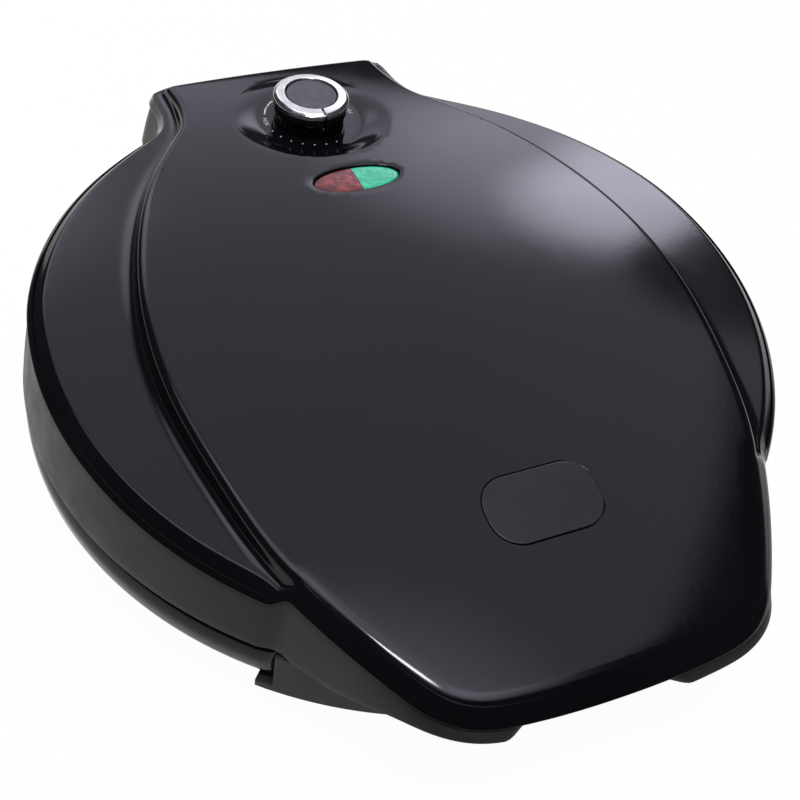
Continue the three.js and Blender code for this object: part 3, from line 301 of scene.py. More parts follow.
class Tree:
    """The nodes of a material or of the world."""

    def __init__(self, owner):
        owner.use_nodes = True
        self.tree = owner.node_tree

    def feed(self, socket, value):
        """Sets a socket to a constant, or links it to the output of another node."""
        if isinstance(value, bpy.types.NodeSocket):
            self.tree.links.new(value, socket)
        else:
            socket.default_value = value

    def node(self, kind, **values):
        """A new node; the values go to its sockets, or else to its settings."""
        made = self.tree.nodes.new(kind)
        for key, value in values.items():
            if key.replace("_", " ") in made.inputs:
                self.feed(made.inputs[key.replace("_", " ")], value)
            else:
                setattr(made, key, value)
        return made


class Look(Tree):
    """A procedural material: one shader, fed by textures in the piece's own space."""

    def __init__(self, name, color, roughness, **values):
        self.material = bpy.data.materials.new(name)
        super().__init__(self.material)
        self.material.diffuse_color = (*color, 1)
        self.sockets = self.tree.nodes["Principled BSDF"].inputs
        for key, value in {"Base_Color": (*color, 1), "Roughness": roughness, **values}.items():
            self.feed(self.sockets[key.replace("_", " ")], value)
        self.where = self.node("ShaderNodeTexCoord").outputs["Object"]
        self.height = None

    def noise(self, scale, detail, stretch=None):
        source = self.where
        if stretch:
            source = self.node("ShaderNodeMapping", Vector=source, Scale=stretch).outputs["Vector"]
        return self.node("ShaderNodeTexNoise", Vector=source, Scale=scale, Detail=detail).outputs["Fac"]

    def cells(self, scale):
        return self.node("ShaderNodeTexVoronoi", Vector=self.where, Scale=scale).outputs["Distance"]

    def color(self, value, low, high, start=0.35, end=0.65):
        made = self.node("ShaderNodeValToRGB", Fac=value)
        for i, (at, shade) in enumerate(((start, low), (end, high))):
            stop = made.color_ramp.elements[i]
            stop.position = at
            stop.color = (*shade, 1)
        self.feed(self.sockets["Base Color"], made.outputs["Color"])

    def rough(self, value, low, high):
        made = self.node("ShaderNodeMapRange", Value=value, From_Min=0.3, From_Max=0.7,
                         To_Min=low, To_Max=high)
        self.feed(self.sockets["Roughness"], made.outputs["Result"])

    def bump(self, value, strength, distance):
        made = self.node("ShaderNodeBump", Height=value, Strength=strength, Distance=distance)
        if self.height:
            self.feed(made.inputs["Normal"], self.height)
        self.height = made.outputs["Normal"]
        self.feed(self.sockets["Normal"], self.height)


looks = {}


def add_look(name, color, roughness, tint=(), shine=(), bumps=(), **sockets):
    """Adds a look to the list.

    Tint is a noise, its dark and light colour and where it passes from one to the other; shine is a noise
    and its lowest and highest roughness; each bump is a noise or the scale of cells, a strength and a depth.
    """
    look = Look(name, color, roughness, **sockets)
    if tint:
        look.color(look.noise(*tint[0]), *tint[1:])
    if shine:
        look.rough(look.noise(*shine[0]), *shine[1:])
    for texture, strength, depth in bumps:
        value = look.noise(*texture) if isinstance(texture, tuple) else look.cells(texture)
        look.bump(value, strength, depth)
    looks[name] = look.material


LACQUER = {"IOR": 1.5, "Specular_IOR_Level": 0.25}
LENS = {"IOR": 1.45, "Specular_IOR_Level": 0.35}
add_look("gloss_black", (0.0028, 0.0025, 0.0032), 0.1,
         ((14, 3), (0.0022, 0.002, 0.0026), (0.0034, 0.003, 0.0038)), ((60, 4), 0.08, 0.12),
         [((420, 1), 0.04, 0.0002), ((38, 0), 0.04, 0.0005)], **LACQUER)
add_look("satin_grey", (0.024, 0.0237, 0.02), 0.42,
         ((22, 4), (0.0215, 0.0212, 0.018), (0.0265, 0.026, 0.022)), ((90, 3), 0.36, 0.48),
         [((2600, 2), 0.3, 0.00012)], Specular_IOR_Level=0.15)
add_look("baking_coat", (0.022, 0.022, 0.023), 0.42,
         ((900, 2), (0.016, 0.016, 0.017), (0.034, 0.034, 0.035), 0.42, 0.6),
         ((30, 4), 0.34, 0.5), [(1500, 0.25, 0.00015)], Metallic=0.25)
add_look("heater_sheath", (0.13, 0.12, 0.11), 0.48, ((45, 5), (0.09, 0.08, 0.075), (0.2, 0.17, 0.15)), (),
         [((1200, 3), 0.2, 0.0001)], Metallic=0.8)
add_look("reflector_steel", (0.55, 0.55, 0.56), 0.32, (), ((25, 4, (1, 12, 1)), 0.24, 0.42),
         [((40, 5, (1, 30, 1)), 0.12, 0.0002)], Metallic=1.0)
add_look("plain_steel", (0.42, 0.42, 0.43), 0.34, ((300, 3), (0.34, 0.34, 0.35), (0.52, 0.52, 0.53)), (),
         [((1400, 2), 0.15, 0.0001)], Metallic=1.0)
add_look("ceramic", (0.7, 0.65, 0.55), 0.6, ((160, 4), (0.6, 0.55, 0.46), (0.76, 0.72, 0.62)), (),
         [((2200, 2), 0.2, 0.0001)])
add_look("neon_glass", (0.6, 0.5, 0.42), 0.12, ((220, 2), (0.5, 0.4, 0.32), (0.7, 0.6, 0.5)))
add_look("red_lens", (0.15, 0.03, 0.03), 0.22,
         ((210, 3), (0.085, 0.018, 0.02), (0.27, 0.045, 0.036), 0.36, 0.7), (), [(420, 0.25, 0.0004)], **LENS)
add_look("green_lens", (0.02, 0.42, 0.22), 0.22,
         ((230, 3), (0.014, 0.33, 0.17), (0.05, 0.56, 0.31), 0.34, 0.68), (), [(420, 0.25, 0.0004)], **LENS)
add_look("plain_plate", (0.0085, 0.0085, 0.0105), 0.3,
         ((120, 3), (0.007, 0.007, 0.0085), (0.0105, 0.0105, 0.0125)), ((80, 4), 0.26, 0.36),
         [((1500, 1), 0.08, 0.0001)], **LACQUER)
add_look("nylon", (0.5, 0.49, 0.45), 0.5, ((90, 3), (0.46, 0.45, 0.41), (0.56, 0.55, 0.5)), (),
         [((1800, 2), 0.15, 0.0001)])
add_look("rubber", (0.016, 0.016, 0.016), 0.75, ((70, 4), (0.012, 0.012, 0.012), (0.024, 0.023, 0.022)), (),
         [((3000, 2), 0.35, 0.00015)])
add_look("knob_chrome", (0.58, 0.57, 0.53), 0.16, ((240, 3), (0.52, 0.51, 0.47), (0.64, 0.63, 0.59)),
         ((500, 3), 0.12, 0.24), [((900, 2), 0.06, 0.0001)], Metallic=1.0)
add_look("satin_black", (0.026, 0.0255, 0.031), 0.46,
         ((160, 3), (0.022, 0.0215, 0.027), (0.031, 0.0305, 0.036)), ((300, 3), 0.36, 0.5),
         [((2800, 2), 0.25, 0.0001)])
add_look("print_white", (0.5, 0.49, 0.47), 0.5, ((900, 3), (0.34, 0.33, 0.32), (0.6, 0.59, 0.57)))

# The panel's outline

OUTLINE_PITCH, SMOOTHING = 1.7, 14  # how far its points stand apart, and how often they are evened out
FINE_STEPS, CORNER_STEPS, BACK_STEPS = 40, 6, 60


def outline_curve():
    """The shield's outline as evenly spaced points, counter-clockwise from its back left corner."""
    half = [(-w * HALF_WIDTH, s * (PANEL_BACK if s > 0 else PANEL_FRONT)) for w, s in OUTLINE_SHARES]
    pts = np.array(half + [(-x, y) for x, y in reversed(half[:-1])])
    ext = steered(pts)
    fine = []
    for i in range(len(pts) - 1):
        p0, p1, p2, p3 = ext[i:i + 4]
        d0, d1, d2 = (np.linalg.norm(b - a) ** 0.5 for a, b in ((p0, p1), (p1, p2), (p2, p3)))
        t1 = ((p1 - p0) / d0 - (p2 - p0) / (d0 + d1) + (p2 - p1) / d1) * d1
        t2 = ((p2 - p1) / d1 - (p3 - p1) / (d1 + d2) + (p3 - p2) / d2) * d1
        for k in range(FINE_STEPS):
            t = k / FINE_STEPS
            fine.append(p1 + t1 * t + (3 * (p2 - p1) - 2 * t1 - t2) * t**2
                        + (2 * (p1 - p2) + t1 + t2) * t**3)
    fine = np.array(fine + [pts[-1]])
    run = np.concatenate([[0], np.cumsum(np.linalg.norm(np.diff(fine, axis=0), axis=1))])
    even = np.linspace(0, run[-1], int(run[-1] / OUTLINE_PITCH))
    side = np.stack([np.interp(even, run, fine[:, k]) for k in (0, 1)], axis=1)
    for _ in range(SMOOTHING):
        side[1:-1] = side[1:-1] / 2 + (side[:-2] + side[2:]) / 4
    r, centre = CORNER_RADIUS, BACK_HALF_WIDTH - CORNER_RADIUS
    turns = [(i + 0.5) / CORNER_STEPS * pi / 2 for i in range(CORNER_STEPS)]
    arc = [polar(r, t, centre, PANEL_BACK - r) for t in turns]
    edge = [(mix(centre, -centre, t), PANEL_BACK) for t in shares(BACK_STEPS)]
    return np.vstack([side, arc, edge, [(-x, y) for x, y in reversed(arc)]])


OUT = outline_curve()
COUNT = len(OUT)
ahead, behind = np.roll(OUT, -1, axis=0), np.roll(OUT, 1, axis=0)
NORMAL = np.stack([ahead[:, 1] - behind[:, 1], behind[:, 0] - ahead[:, 0]], axis=1)
NORMAL /= np.linalg.norm(NORMAL, axis=1)[:, None]


def run_to_round(radius):
    """How far each point of the outline lies inside the lid's round edge, along its normal."""
    stretch = np.where(OUT[:, 1] > 0, 1 / BACK_SHARE, 1.0)
    y, out_y = OUT[:, 1] * stretch, NORMAL[:, 1] * stretch
    scale = NORMAL[:, 0] ** 2 + out_y**2
    along = (OUT[:, 0] * NORMAL[:, 0] + y * out_y) / scale
    room = along**2 + (radius**2 - OUT[:, 0] ** 2 - y**2) / scale
    return np.where(room > 0, np.sqrt(np.maximum(room, 0)) - along, -along)


def rounded_max(a, b, fillet):
    return (a + b + np.sqrt((a - b) ** 2 + fillet**2)) / 2


# Least runs from the outline to the wing's edge and to the lip, and the fillets there, front and back
LEAST_WING, LEAST_LIP, FILLETS = (5.5, 7.7), (6.6, 9.7), (2.5, 12)
LEAST_RUN, LEAST_RIM = 6.0, 1.0
MERGE_RUN, BACK_CORNER = 4, 16  # where the wing runs out into the handle, and into the straight back edge

at_back = smooth(0, 40, OUT[:, 1])
fillet = mix(*FILLETS, at_back)
room_to_lip = run_to_round(RIM_RADIUS)
wing_run = rounded_max(run_to_round(WING_RADIUS), mix(*LEAST_WING, at_back), fillet)
wing_run = np.maximum(wing_run, LEAST_RUN)
lip_run = np.maximum(rounded_max(room_to_lip, mix(*LEAST_LIP, at_back), fillet), wing_run + LEAST_RIM)
back_edge = np.where(OUT[:, 1] > PANEL_BACK - BACK_CORNER, smooth(0.35, 0.85, NORMAL[:, 1]), 0)
merge = np.where(OUT[:, 1] > 0, 1, smooth(0, MERGE_RUN, room_to_lip - LEAST_LIP[0]))
wing_share = merge * (1 - back_edge)
INSET = mix(5.0, 2.4, smooth(30, 120, OUT[:, 1]))  # where the panel's middle ends and its edge begins
FOOT_RUN, STEP_CORNER, STEP_START = 3.3, 1.2, -2.6
FOOT_UP, FOOT_OUT = 2.4, 6.5  # how far the foot's fillet runs up the wall and out on the wing
LEAVE, MOST_SHARE = 3.0, 0.45  # how far the corner runs down the wall, and the most of it that a fillet takes


def along_normal(run, outline=OUT):
    """Points at a run from an outline; the run is one number or one for each station."""
    return outline + NORMAL * np.broadcast_to(run, (COUNT,))[:, None]


# Curves of (run, drop), each with one more point at both ends that only steers it
HANDLE_ROLL = [
    (-6.5, 0), (-5, 0), (-3.4, 0.06), (-1.7, 0.36), (0, 0.95), (0.9, 1.5), (2.5, 2.75), (4.3, 4.3),
    (5.75, 5.65), (6.6, 6.75), (6.75, 7.6),
]
RIM_ROLL = [
    (-0.35, -0.02), (-0.15, 0), (0.0, 0.07), (0.13, 0.5), (0.4, 1.95), (0.68, 3.35), (0.9, 4.4), (1, 5.1),
    (1.01, 5.7),
]
STEP_ROWS, FLAT_ROWS, RIM_ROWS = 8, 10, 18


def edge_rows():
    """Rows of points over the cover's edge, from the panel inwards of its outline to the lip."""
    rows = []

    def row(handle_t, run, height, drop=0.0):
        """Mixes the handle's roll with the winged edge; height gives z there, less the drop."""
        h_run, h_drop = curve_point(HANDLE_ROLL, handle_t)
        h_run = h_run * INSET / 5 if h_run < 0 else h_run
        points = along_normal(mix(h_run, run, wing_share))
        handle_z = on_top(along_normal(np.minimum(h_run, 0))) - h_drop
        z = height(points) if callable(height) else height
        rows.append(np.column_stack([points, mix(handle_z, z - drop, wing_share)]))

    def on_top(points):
        return panel_height(*points.T)

    def on_wing(points):
        return wing_height(*points.T)

    row(0, -INSET, on_top)
    row(1, -0.68 * INSET, on_top)
    edge_z, start_z = on_top(OUT), on_top(along_normal(STEP_START))
    foot_z = on_wing(along_normal(FOOT_RUN))
    corner_z = edge_z + (edge_z - start_z) * STEP_CORNER / -STEP_START
    fall = np.column_stack([np.full(COUNT, FOOT_RUN - STEP_CORNER), foot_z - corner_z])
    length = np.linalg.norm(fall, axis=1)
    unit = fall / length[:, None]
    leave_by = np.minimum(LEAVE, MOST_SHARE * length)
    leave = np.column_stack([np.full(COUNT, STEP_CORNER), corner_z]) + unit * leave_by[:, None]
    for t in shares(STEP_ROWS):
        run = bezier(STEP_START, STEP_CORNER, leave[:, 0], t)
        row(2 + 2 * t, run, bezier(start_z, corner_z, leave[:, 1], t))
    foot_up = np.minimum(FOOT_UP, MOST_SHARE * length)
    land = np.column_stack([np.full(COUNT, FOOT_RUN), foot_z]) - unit * foot_up[:, None]
    for t in (0.33, 0.66):
        row(4 + 0.6 * t, mix(leave[:, 0], land[:, 0], t), mix(leave[:, 1], land[:, 1], t))
    flat_start = np.minimum(FOOT_RUN + FOOT_OUT * foot_up / FOOT_UP, wing_run - 1.1)
    beyond_z = on_wing(along_normal(flat_start))
    for t in shares(STEP_ROWS):
        run = bezier(land[:, 0], FOOT_RUN, flat_start, t)
        row(4.5 + 0.6 * t, run, bezier(land[:, 1], foot_z, beyond_z, t))
    width = lip_run - wing_run
    roll_start = np.maximum(wing_run - 0.15 * width, flat_start)
    for share in shares(FLAT_ROWS)[1:]:
        row(5.1 + share, mix(flat_start, roll_start, share), on_wing)
    for i in range(1, RIM_ROWS + 1):
        share, drop = curve_point(RIM_ROLL, i / 3)
        run = wing_run + width * share if share > 0 else mix(wing_run, roll_start, share / -0.15)
        row(6.1 + 1.9 * i / RIM_ROWS, run, on_wing, drop)
    for inwards, drop in ((0, 0.1), (0.25, 0.4), (2.0, 0), (0, -3)):  # down, and in under the edge
        rows.append(rows[-1] - np.column_stack([NORMAL * inwards, np.full(COUNT, drop)]))
    return rows


EDGE = edge_rows()
SKIRT_TOP = EDGE[-4] - (0, 0, 0.4)


def inside_polygon(points, polygon):
    x, y = points[:, 0], points[:, 1]
    found = np.zeros(len(points), bool)
    for (x0, y0), (x1, y1) in zip(polygon, np.roll(polygon, -1, axis=0)):
        crosses = (y0 > y) != (y1 > y)
        with np.errstate(divide="ignore", invalid="ignore"):
            at = x0 + (y - y0) * (x1 - x0) / (y1 - y0)
        found ^= crosses & (x < at)
    return found


LABEL_LENGTH, LABEL_WIDTH, LABEL_CORNER = 25.8, 15.2, 13


def label_outline(grow):
    """A rounded oblong round the label's middle."""
    half_x, half_y, r = LABEL_LENGTH + grow, LABEL_WIDTH + grow, LABEL_CORNER + grow
    points = []
    for side_x, side_y, start in ((1, -1, -90), (1, 1, 0), (-1, 1, 90), (-1, -1, 180)):
        for t in shares(23):
            points.append(polar(r, radians(start + 90 * t), side_x * (half_x - r), side_y * (half_y - r)))
    return np.array(points)


def on_panel(points, drop=0.0):
    points = np.asarray(points, float)
    return np.column_stack([points, panel_height(*points.T) - drop])


DISH_FLOOR = panel_height(0.0, KNOB_Y) - DISH_DEPTH
DISH_EDGE = DISH_FLOOR_RADIUS + DISH_RUN
DISH_ROWS, BLEND = 22, (1.2, 1.6)  # how far the blends reach in from the floor's edge and out from the dish's


def dish_rows(steps=120):
    """The round dish under the knob, from the shaft's hole out to the panel."""
    turns = np.linspace(0, 2 * pi, steps, endpoint=False)
    circle = np.column_stack([np.cos(turns), np.sin(turns)])
    rows = []
    for r, drop in ((4.6, 2.5), (4.6, 0.3), (4.9, 0.0)):
        rows.append(np.column_stack([circle * r + (0, KNOB_Y), np.full(steps, DISH_FLOOR - drop)]))
    start, end = DISH_FLOOR_RADIUS - BLEND[0], DISH_EDGE + BLEND[1]
    for r in (12.0, 18.0, 22.0, start):
        rows.append(np.column_stack([circle * r + (0, KNOB_Y), np.full(steps, DISH_FLOOR)]))
    for share in shares(DISH_ROWS)[1:]:
        r = mix(start, end, share)
        points = circle * r + (0, KNOB_Y)
        top = panel_height(*points.T)
        slope = np.clip((r - DISH_FLOOR_RADIUS) / DISH_RUN, -1, 2)
        low = rounded_max(slope, 0.0, 0.16) - 0.04 * (1 - share)
        rise = low - (rounded_max(low, 1.0, 0.2) - 1.0)
        rise = mix(min(max(rise, 0.0), 1.0), 1.0, smooth(0.9, 1.0, share))
        rows.append(np.column_stack([points, mix(DISH_FLOOR, top, rise)]))
    return rows


PITCH = 3.6  # of the points that fill the panel's middle


def build_cover():
    dish = dish_rows()
    skin = Skin().grid(EDGE).grid(dish)
    lens_loops = [oval(LENS_LENGTH + g, LENS_WIDTH + g, 96, LENS_Y) for g in (1.3, 0.8, 0.3, 0.0)]
    lens_rows = [on_panel(loop, d) for loop, d in zip(lens_loops, (0, 0.12, 0.55, 1.1))]
    skin.grid(lens_rows + [lens_rows[-1] - (0, 0, 2.2)])
    seat = [label_outline(g) + (0, LABEL_Y) for g in (0.5, 0.22, 0.1)]
    seat_rows = [on_panel(loop, d) for loop, d in zip(seat, (0, 0.05, 0.22))]
    floor_row = seat_rows[-1] - (0, 0, 0.7)
    skin.grid(seat_rows + [floor_row]).cap(floor_row)

    boundary = EDGE[0][:, :2]
    loops = [boundary, dish[-1][:, :2], np.array(lens_loops[0]), seat[0]]
    points = [p for loop in loops for p in loop]
    edges, start = [], 0
    for loop in loops:
        edges += [(start + i, start + (i + 1) % len(loop)) for i in range(len(loop))]
        start += len(loop)
    fill = []
    for row_no, y in enumerate(np.arange(-PANEL_FRONT, PANEL_BACK, PITCH * sqrt(3) / 2)):
        shift = PITCH / 2 if row_no % 2 else 0
        fill += [(x + shift, y) for x in np.arange(-HALF_WIDTH - PITCH, HALF_WIDTH + PITCH, PITCH)]
    fill = np.array(fill)
    keep = inside_polygon(fill, boundary)
    keep &= np.hypot(fill[:, 0], fill[:, 1] - KNOB_Y) > DISH_EDGE + 3.4
    keep &= np.hypot(fill[:, 0] / (LENS_LENGTH + 3.1), (fill[:, 1] - LENS_Y) / (LENS_WIDTH + 3.1)) > 1
    keep &= ~inside_polygon(fill, label_outline(2.6) + (0, LABEL_Y))
    fill = fill[keep]
    gap = np.sqrt(((fill[:, None, :] - boundary[None, ::4, :]) ** 2).sum(2)).min(1)
    fill = fill[gap > PITCH]
    points = [Vector(p) for p in (*points, *fill)]
    flat, _, triangles, *_ = delaunay_2d_cdt(points, edges, [], 0, 1e-5)
    flat = np.array([tuple(p) for p in flat])
    triangles = np.array([tuple(t) for t in triangles])
    middle = flat[triangles].mean(axis=1)
    good = inside_polygon(middle, boundary)
    for loop in loops[1:]:
        good &= ~inside_polygon(middle, loop)
    skin.add(on_panel(flat), [tuple(t) for t in triangles[good]])
    make("lid_shell", skin, "lid", "gloss_black", ["lid_cover"], sharp=50, weld=1e-5)


# Lid frame

FLOOR_RADIUS, FLOOR_INSET = 159.1, 2.5
LIP_GAP, LIP_HEIGHT, SCOOP_RISE = 0.3, 4.6, 1.2  # of the skirt's lip round the handle
SCOOP_X, SCOOP_LEAN = -11, -3.4
WALL, CORNER = 2.6, 0.8

TOP_X, TOP_Y, TOP_Z = SKIRT_TOP.T
SKIRT_Z = TOP_Z - LIP_GAP
AT_HANDLE = smooth(146, PANEL_FRONT, -TOP_Y)
SCOOP = (1 - smooth(28, 41, np.abs(TOP_X - SCOOP_X))) * AT_HANDLE
SIDE_BOTTOM = mix(LID_BOTTOM, SKIRT_Z - LIP_HEIGHT + SCOOP_RISE * SCOOP, AT_HANDLE)
SKIRT_BOTTOM = mix(SIDE_BOTTOM, 52.0, smooth(153, 171, TOP_Y))
FLARE = mix(mix(3.5, 2.6, smooth(133, 146, -TOP_Y)), SCOOP_LEAN, SCOOP)
SCOOPED = np.minimum(0, FLARE)


def skirt_point(run, z):
    return np.column_stack([along_normal(run, SKIRT_TOP[:, :2]), z])


def build_skirt():
    top, bottom = SKIRT_Z, SKIRT_BOTTOM
    top_run, bottom_run = SCOOPED - 0.9, FLARE
    rows = [skirt_point(top_run - 0.35, top), skirt_point(top_run - 0.1, top - 0.1)]
    for t in shares(8):
        z = mix(top - 0.35, bottom + CORNER, t)
        rows.append(skirt_point(mix(top_run, bottom_run, t) + 0.35 * sin(pi * t), z))
    for t in shares(4)[1:]:
        a = t * pi / 2
        rows.append(skirt_point(bottom_run - CORNER * (1 - cos(a)), bottom + CORNER * (1 - sin(a))))
    rows += [skirt_point(bottom_run - WALL + 0.3, bottom), skirt_point(bottom_run - WALL, bottom + 0.3),
             skirt_point(mix(bottom_run, top_run, 0.5) - WALL, (top + bottom) / 2),
             skirt_point(top_run - WALL, top)]
    make("lid_skirt", Skin().grid(rows, endless=True), "lid", "satin_grey", ["lid_frame"], sharp=45)


def floor_outline(ends_y):
    """The cover's outline drawn in a little, beyond a line across the lid, closed along a circle."""
    inner = along_normal(SCOOPED - FLOOR_INSET, SKIRT_TOP[:, :2])
    kept = inner[:, 1] * math.copysign(1, ends_y) > abs(ends_y)
    start = next(i for i in range(COUNT) if kept[i] and not kept[i - 1])
    run = [tuple(inner[i % COUNT]) for i in range(start, start + COUNT) if kept[i % COUNT]]
    first, last = run[0], run[-1]
    half = sqrt(FLOOR_RADIUS**2 - ends_y**2)
    a0, a1 = (math.atan2(ends_y, math.copysign(half, point[0])) for point in (last, first))
    arc = [polar(FLOOR_RADIUS, mix(a0, a1, t)) for t in shares(24)]
    return run + [(last[0], ends_y)] + arc + [(first[0], ends_y)]


EYE_RADIUS, EYE_STEPS = 7.0, 28


def build_eyes(name, body, node, inner, outer, front, back_, level):
    """Two eyes round the hinge line, each with a web up or down to a level."""
    sign = 1 if level > HINGE_Z else -1
    first, last = (math.acos(reach / EYE_RADIUS) for reach in (back_, front))
    turns = [mix(first, -pi - last, t) for t in shares(EYE_STEPS)]
    arc = [polar(EYE_RADIUS, sign * t, HINGE_Y, HINGE_Z) for t in turns]
    eyes = Skin()
    for side in (-1, 1):
        eyes.across([(HINGE_Y + back_, level)] + arc + [(HINGE_Y - front, level)],
                    *sorted((side * inner, side * outer)))
    make(name, eyes, body, "satin_grey", [node], sharp=32, bevel=0.6)


def build_carrier():
    web = [(RING_INNER, 40.3), (RING_OUTER, 40.3), (RING_OUTER, 53.5), (168, 53.5), (168, 56),
           (RING_INNER, 56), (RING_INNER, 48.7), (LEDGE_INNER, 48.7), (LEDGE_INNER, 46.2),
           (RING_INNER, 46.2)]
    web = rounded(web, [0.8, 0.8, 1.5, 0.4, 0.4, 0.4, 0.6, 0.6, 0.6, 0.6], True, 3)
    ways = []
    for t in turns_of(180):
        stretch = BACK_SHARE if t < pi else 1
        ways.append((t, WEB_RADIUS / hypot(cos(t), sin(t) / stretch)))
    skin = Skin().clipped(web, ways)
    skin.prism(floor_outline(-120.0), 51.5, 54.0).prism(floor_outline(150.0), 53.5, 56.0)
    make("lid_carrier", skin, "lid", "satin_grey", ["lid_frame"])
    build_eyes("lid_knuckles", "lid", "lid_frame", 45.0, 53.0, 6, 6, 54.7)


# Base

FRONT_ANGLE = 41.4  # half the angle that the front wall takes
FRONT_INNER = FRONT_RADIUS - FRONT_WALL
FLANGE_LOW, FLANGE_TOP, BASE_TOP = 15.5, 19.5, 39.2
REAR_WIDTH, REAR_BACK, REAR_CORNER = 56, 187, 4.0


def build_bezel():
    outer = spline([(157.9, 38.75), (161.5, 39.15), (165.2, 39.15), (169.5, 37.1), (171.55, 32.4),
                    (171.45, 27.5), (170.4, 23.6), (167.6, 20.7), (165.4, 19.85)], 6)
    inner = [(163, 19.8), (163.6, 26), (167.7, 32.2), (163.9, 36.6), (RING_OUTER, 36.6), (RING_OUTER, 30.5),
             (LEDGE_INNER, 30.5), (LEDGE_INNER, 33), (RING_INNER, 33)]
    ways = []
    for degrees in range(360):
        from_front = abs((degrees - 90) % 360 - 180)
        clip = 1e3  # cut back behind the front wall
        if from_front <= FRONT_ANGLE + 0.2:
            clip = FRONT_INNER - CLEARANCE
        elif from_front < FRONT_ANGLE + 1.2:
            clip = 170.2
        ways.append((radians(degrees), clip))
    make("bezel_ring", Skin().clipped(outer + inner, ways), "base", "gloss_black", ["base_bezel"])


def rear_outline(front):
    """A plan outline with rounded back corners, from the points of its front."""
    points = list(front)
    for side, start in ((1, 0), (-1, 90)):
        x, y = side * (REAR_WIDTH - REAR_CORNER), REAR_BACK - REAR_CORNER
        points += [polar(REAR_CORNER, radians(start + 90 * t), x, y) for t in shares(8)]
    return points


def build_housing():
    bowl = rounded([(0, 5), (147, 5), (154, 8.2), (161, 13), (164.6, 19.5), (162, 19.5), (158.4, 13),
                    (144.4, 7.6), (0, 7.6)], [0, 14, 8, 10, 0.4, 0.4, 8, 10, 0], steps=6)
    make("base_bowl", Skin().lathe(bowl, 240), "base", "satin_grey", ["base_housing"])
    front_wall = ("base_front_wall", FRONT_INNER, BASE_TOP, FRONT_ANGLE, 0.7)
    for name, inner, top, angle, bevel in (front_wall, ("base_flange", 156.9, FLANGE_TOP, 43.8, 0.5)):
        outline = [(inner, FLANGE_LOW), (FRONT_RADIUS, FLANGE_LOW), (FRONT_RADIUS, top), (inner, top)]
        make(name, Skin().sector(outline, angle), "base", "satin_grey", ["base_housing"],
             sharp=32, bevel=bevel)
    end = math.asin(REAR_WIDTH / FRONT_RADIUS)
    arc = [(FRONT_RADIUS * sin(t), FRONT_RADIUS * cos(t)) for t in np.linspace(-end, end, 31)]
    rear = Skin().prism(rear_outline([(-REAR_WIDTH, 150), (REAR_WIDTH, 150)]), 8.5, 19.4)
    rear.prism(rear_outline(arc), 19.4, 31)
    make("base_rear_block", rear, "base", "satin_grey", ["base_housing"], sharp=32, bevel=1.0)
    build_eyes("base_ears", "base", "base_housing", 36.0, 44.0, 6, 5, 29.7)


BOSS_CIRCLE = 99.3
FOOT_CIRCLE, FOOT_ANGLE = 136.5, radians(55.1)
SCREW_HEAD, SCREW_HEIGHT = 3.0, 1.8


def build_plate(name, face, sign, node):
    """A cast baking plate; sign is +1 where its back points up."""
    profile = [(0, 0), (144, 0), (149, -8), (152.4, -8), (152.4, -5.2), (157.2, -5.2), (157.2, -2.4),
               (151.4, -2.4), (147, 4), (0, 4)]
    points = rounded(profile, [0, 3.5, 1.2, 0.8, 0.6, 0.5, 0.5, 0.8, 1.5, 0])
    skin = Skin().lathe([(r, face + sign * z) for r, z in points], 240)
    boss = [(0, 3.6), (5.4, 3.6), (5, 4.6), (5, 10.6), (4.6, 11), (0, 11)]
    for turn_ in (90, 210, 330):
        skin.lathe([(r, face + sign * z) for r, z in boss], 32, *polar(BOSS_CIRCLE, radians(sign * turn_)))
    make(name, skin, "base" if sign < 0 else "lid", "baking_coat", [node])


def build_feet():
    profile = rounded([(4, 3.6), (4, 0), (8, 0), (9, 0.6), (9, 6.6), (1.5, 6.6), (1.5, 3.6)],
                      [0, 0.4, 0.5, 0.5, 0.3, 0, 0], True, 4)
    reach_x, reach_y = polar(FOOT_CIRCLE, FOOT_ANGLE)
    for i, (side_x, side_y) in enumerate([(-1, -1), (1, -1), (-1, 1), (1, 1)]):
        x, y = side_x * reach_x, side_y * reach_y
        skin = Skin().lathe(profile, 56, x, y, endless=True)
        make(f"rubber_foot_{i + 1}", skin, "base", "rubber", [f"foot_{i + 1}"], sharp=35)
        screw_piece("foot_screw", i + 1, x, y, 3.3, 1.15, 8.0, "base")


def screw_piece(kind, number, x, y, level, shank, length, body):
    """A pan-head screw with a cross recess that points up from a level; its head hangs below."""
    turns = turns_of(40)
    rows = []
    for r in (0.0, 0.3, 0.6, 0.9, 1.2, 1.5, 1.8, 2.1, SCREW_HEAD - 0.45, SCREW_HEAD - 0.15, SCREW_HEAD):
        row = []
        for t in turns:
            small, large = sorted((abs(r * cos(t)), abs(r * sin(t))))
            cross = (1 - smooth(0.22, 0.42, small)) * (1 - smooth(1.1, 1.6, large))
            dome = SCREW_HEIGHT - 0.55 * (r / SCREW_HEAD) ** 3 - 1.0 * float(cross)
            row.append((*polar(r, t, x, y), level - dome))
        rows.append(row)
    for r, z in ((SCREW_HEAD, 0), (shank, 0), (shank, length - 1), (0.2, length)):
        rows.append([(*polar(r, t, x, y), level + z) for t in turns])
    make(f"{kind}_head_{number}", Skin().grid(rows), body, "plain_steel", [f"{kind}_{number}"])


def build_hinge():
    for side, word in ((-1, "left"), (1, "right")):
        a, b = sorted((side * 35.0, side * 54.0))
        profile = rounded([(0, a), (3, a), (3, b), (0, b)], [0, 0.5, 0.5, 0], steps=4)
        rows = [[(along, *polar(r, t, HINGE_Y, HINGE_Z)) for t in turns_of(40)] for r, along in profile]
        make(f"pin_{word}", Skin().grid(rows), "base", "plain_steel", [f"hinge_pin_{word}"])


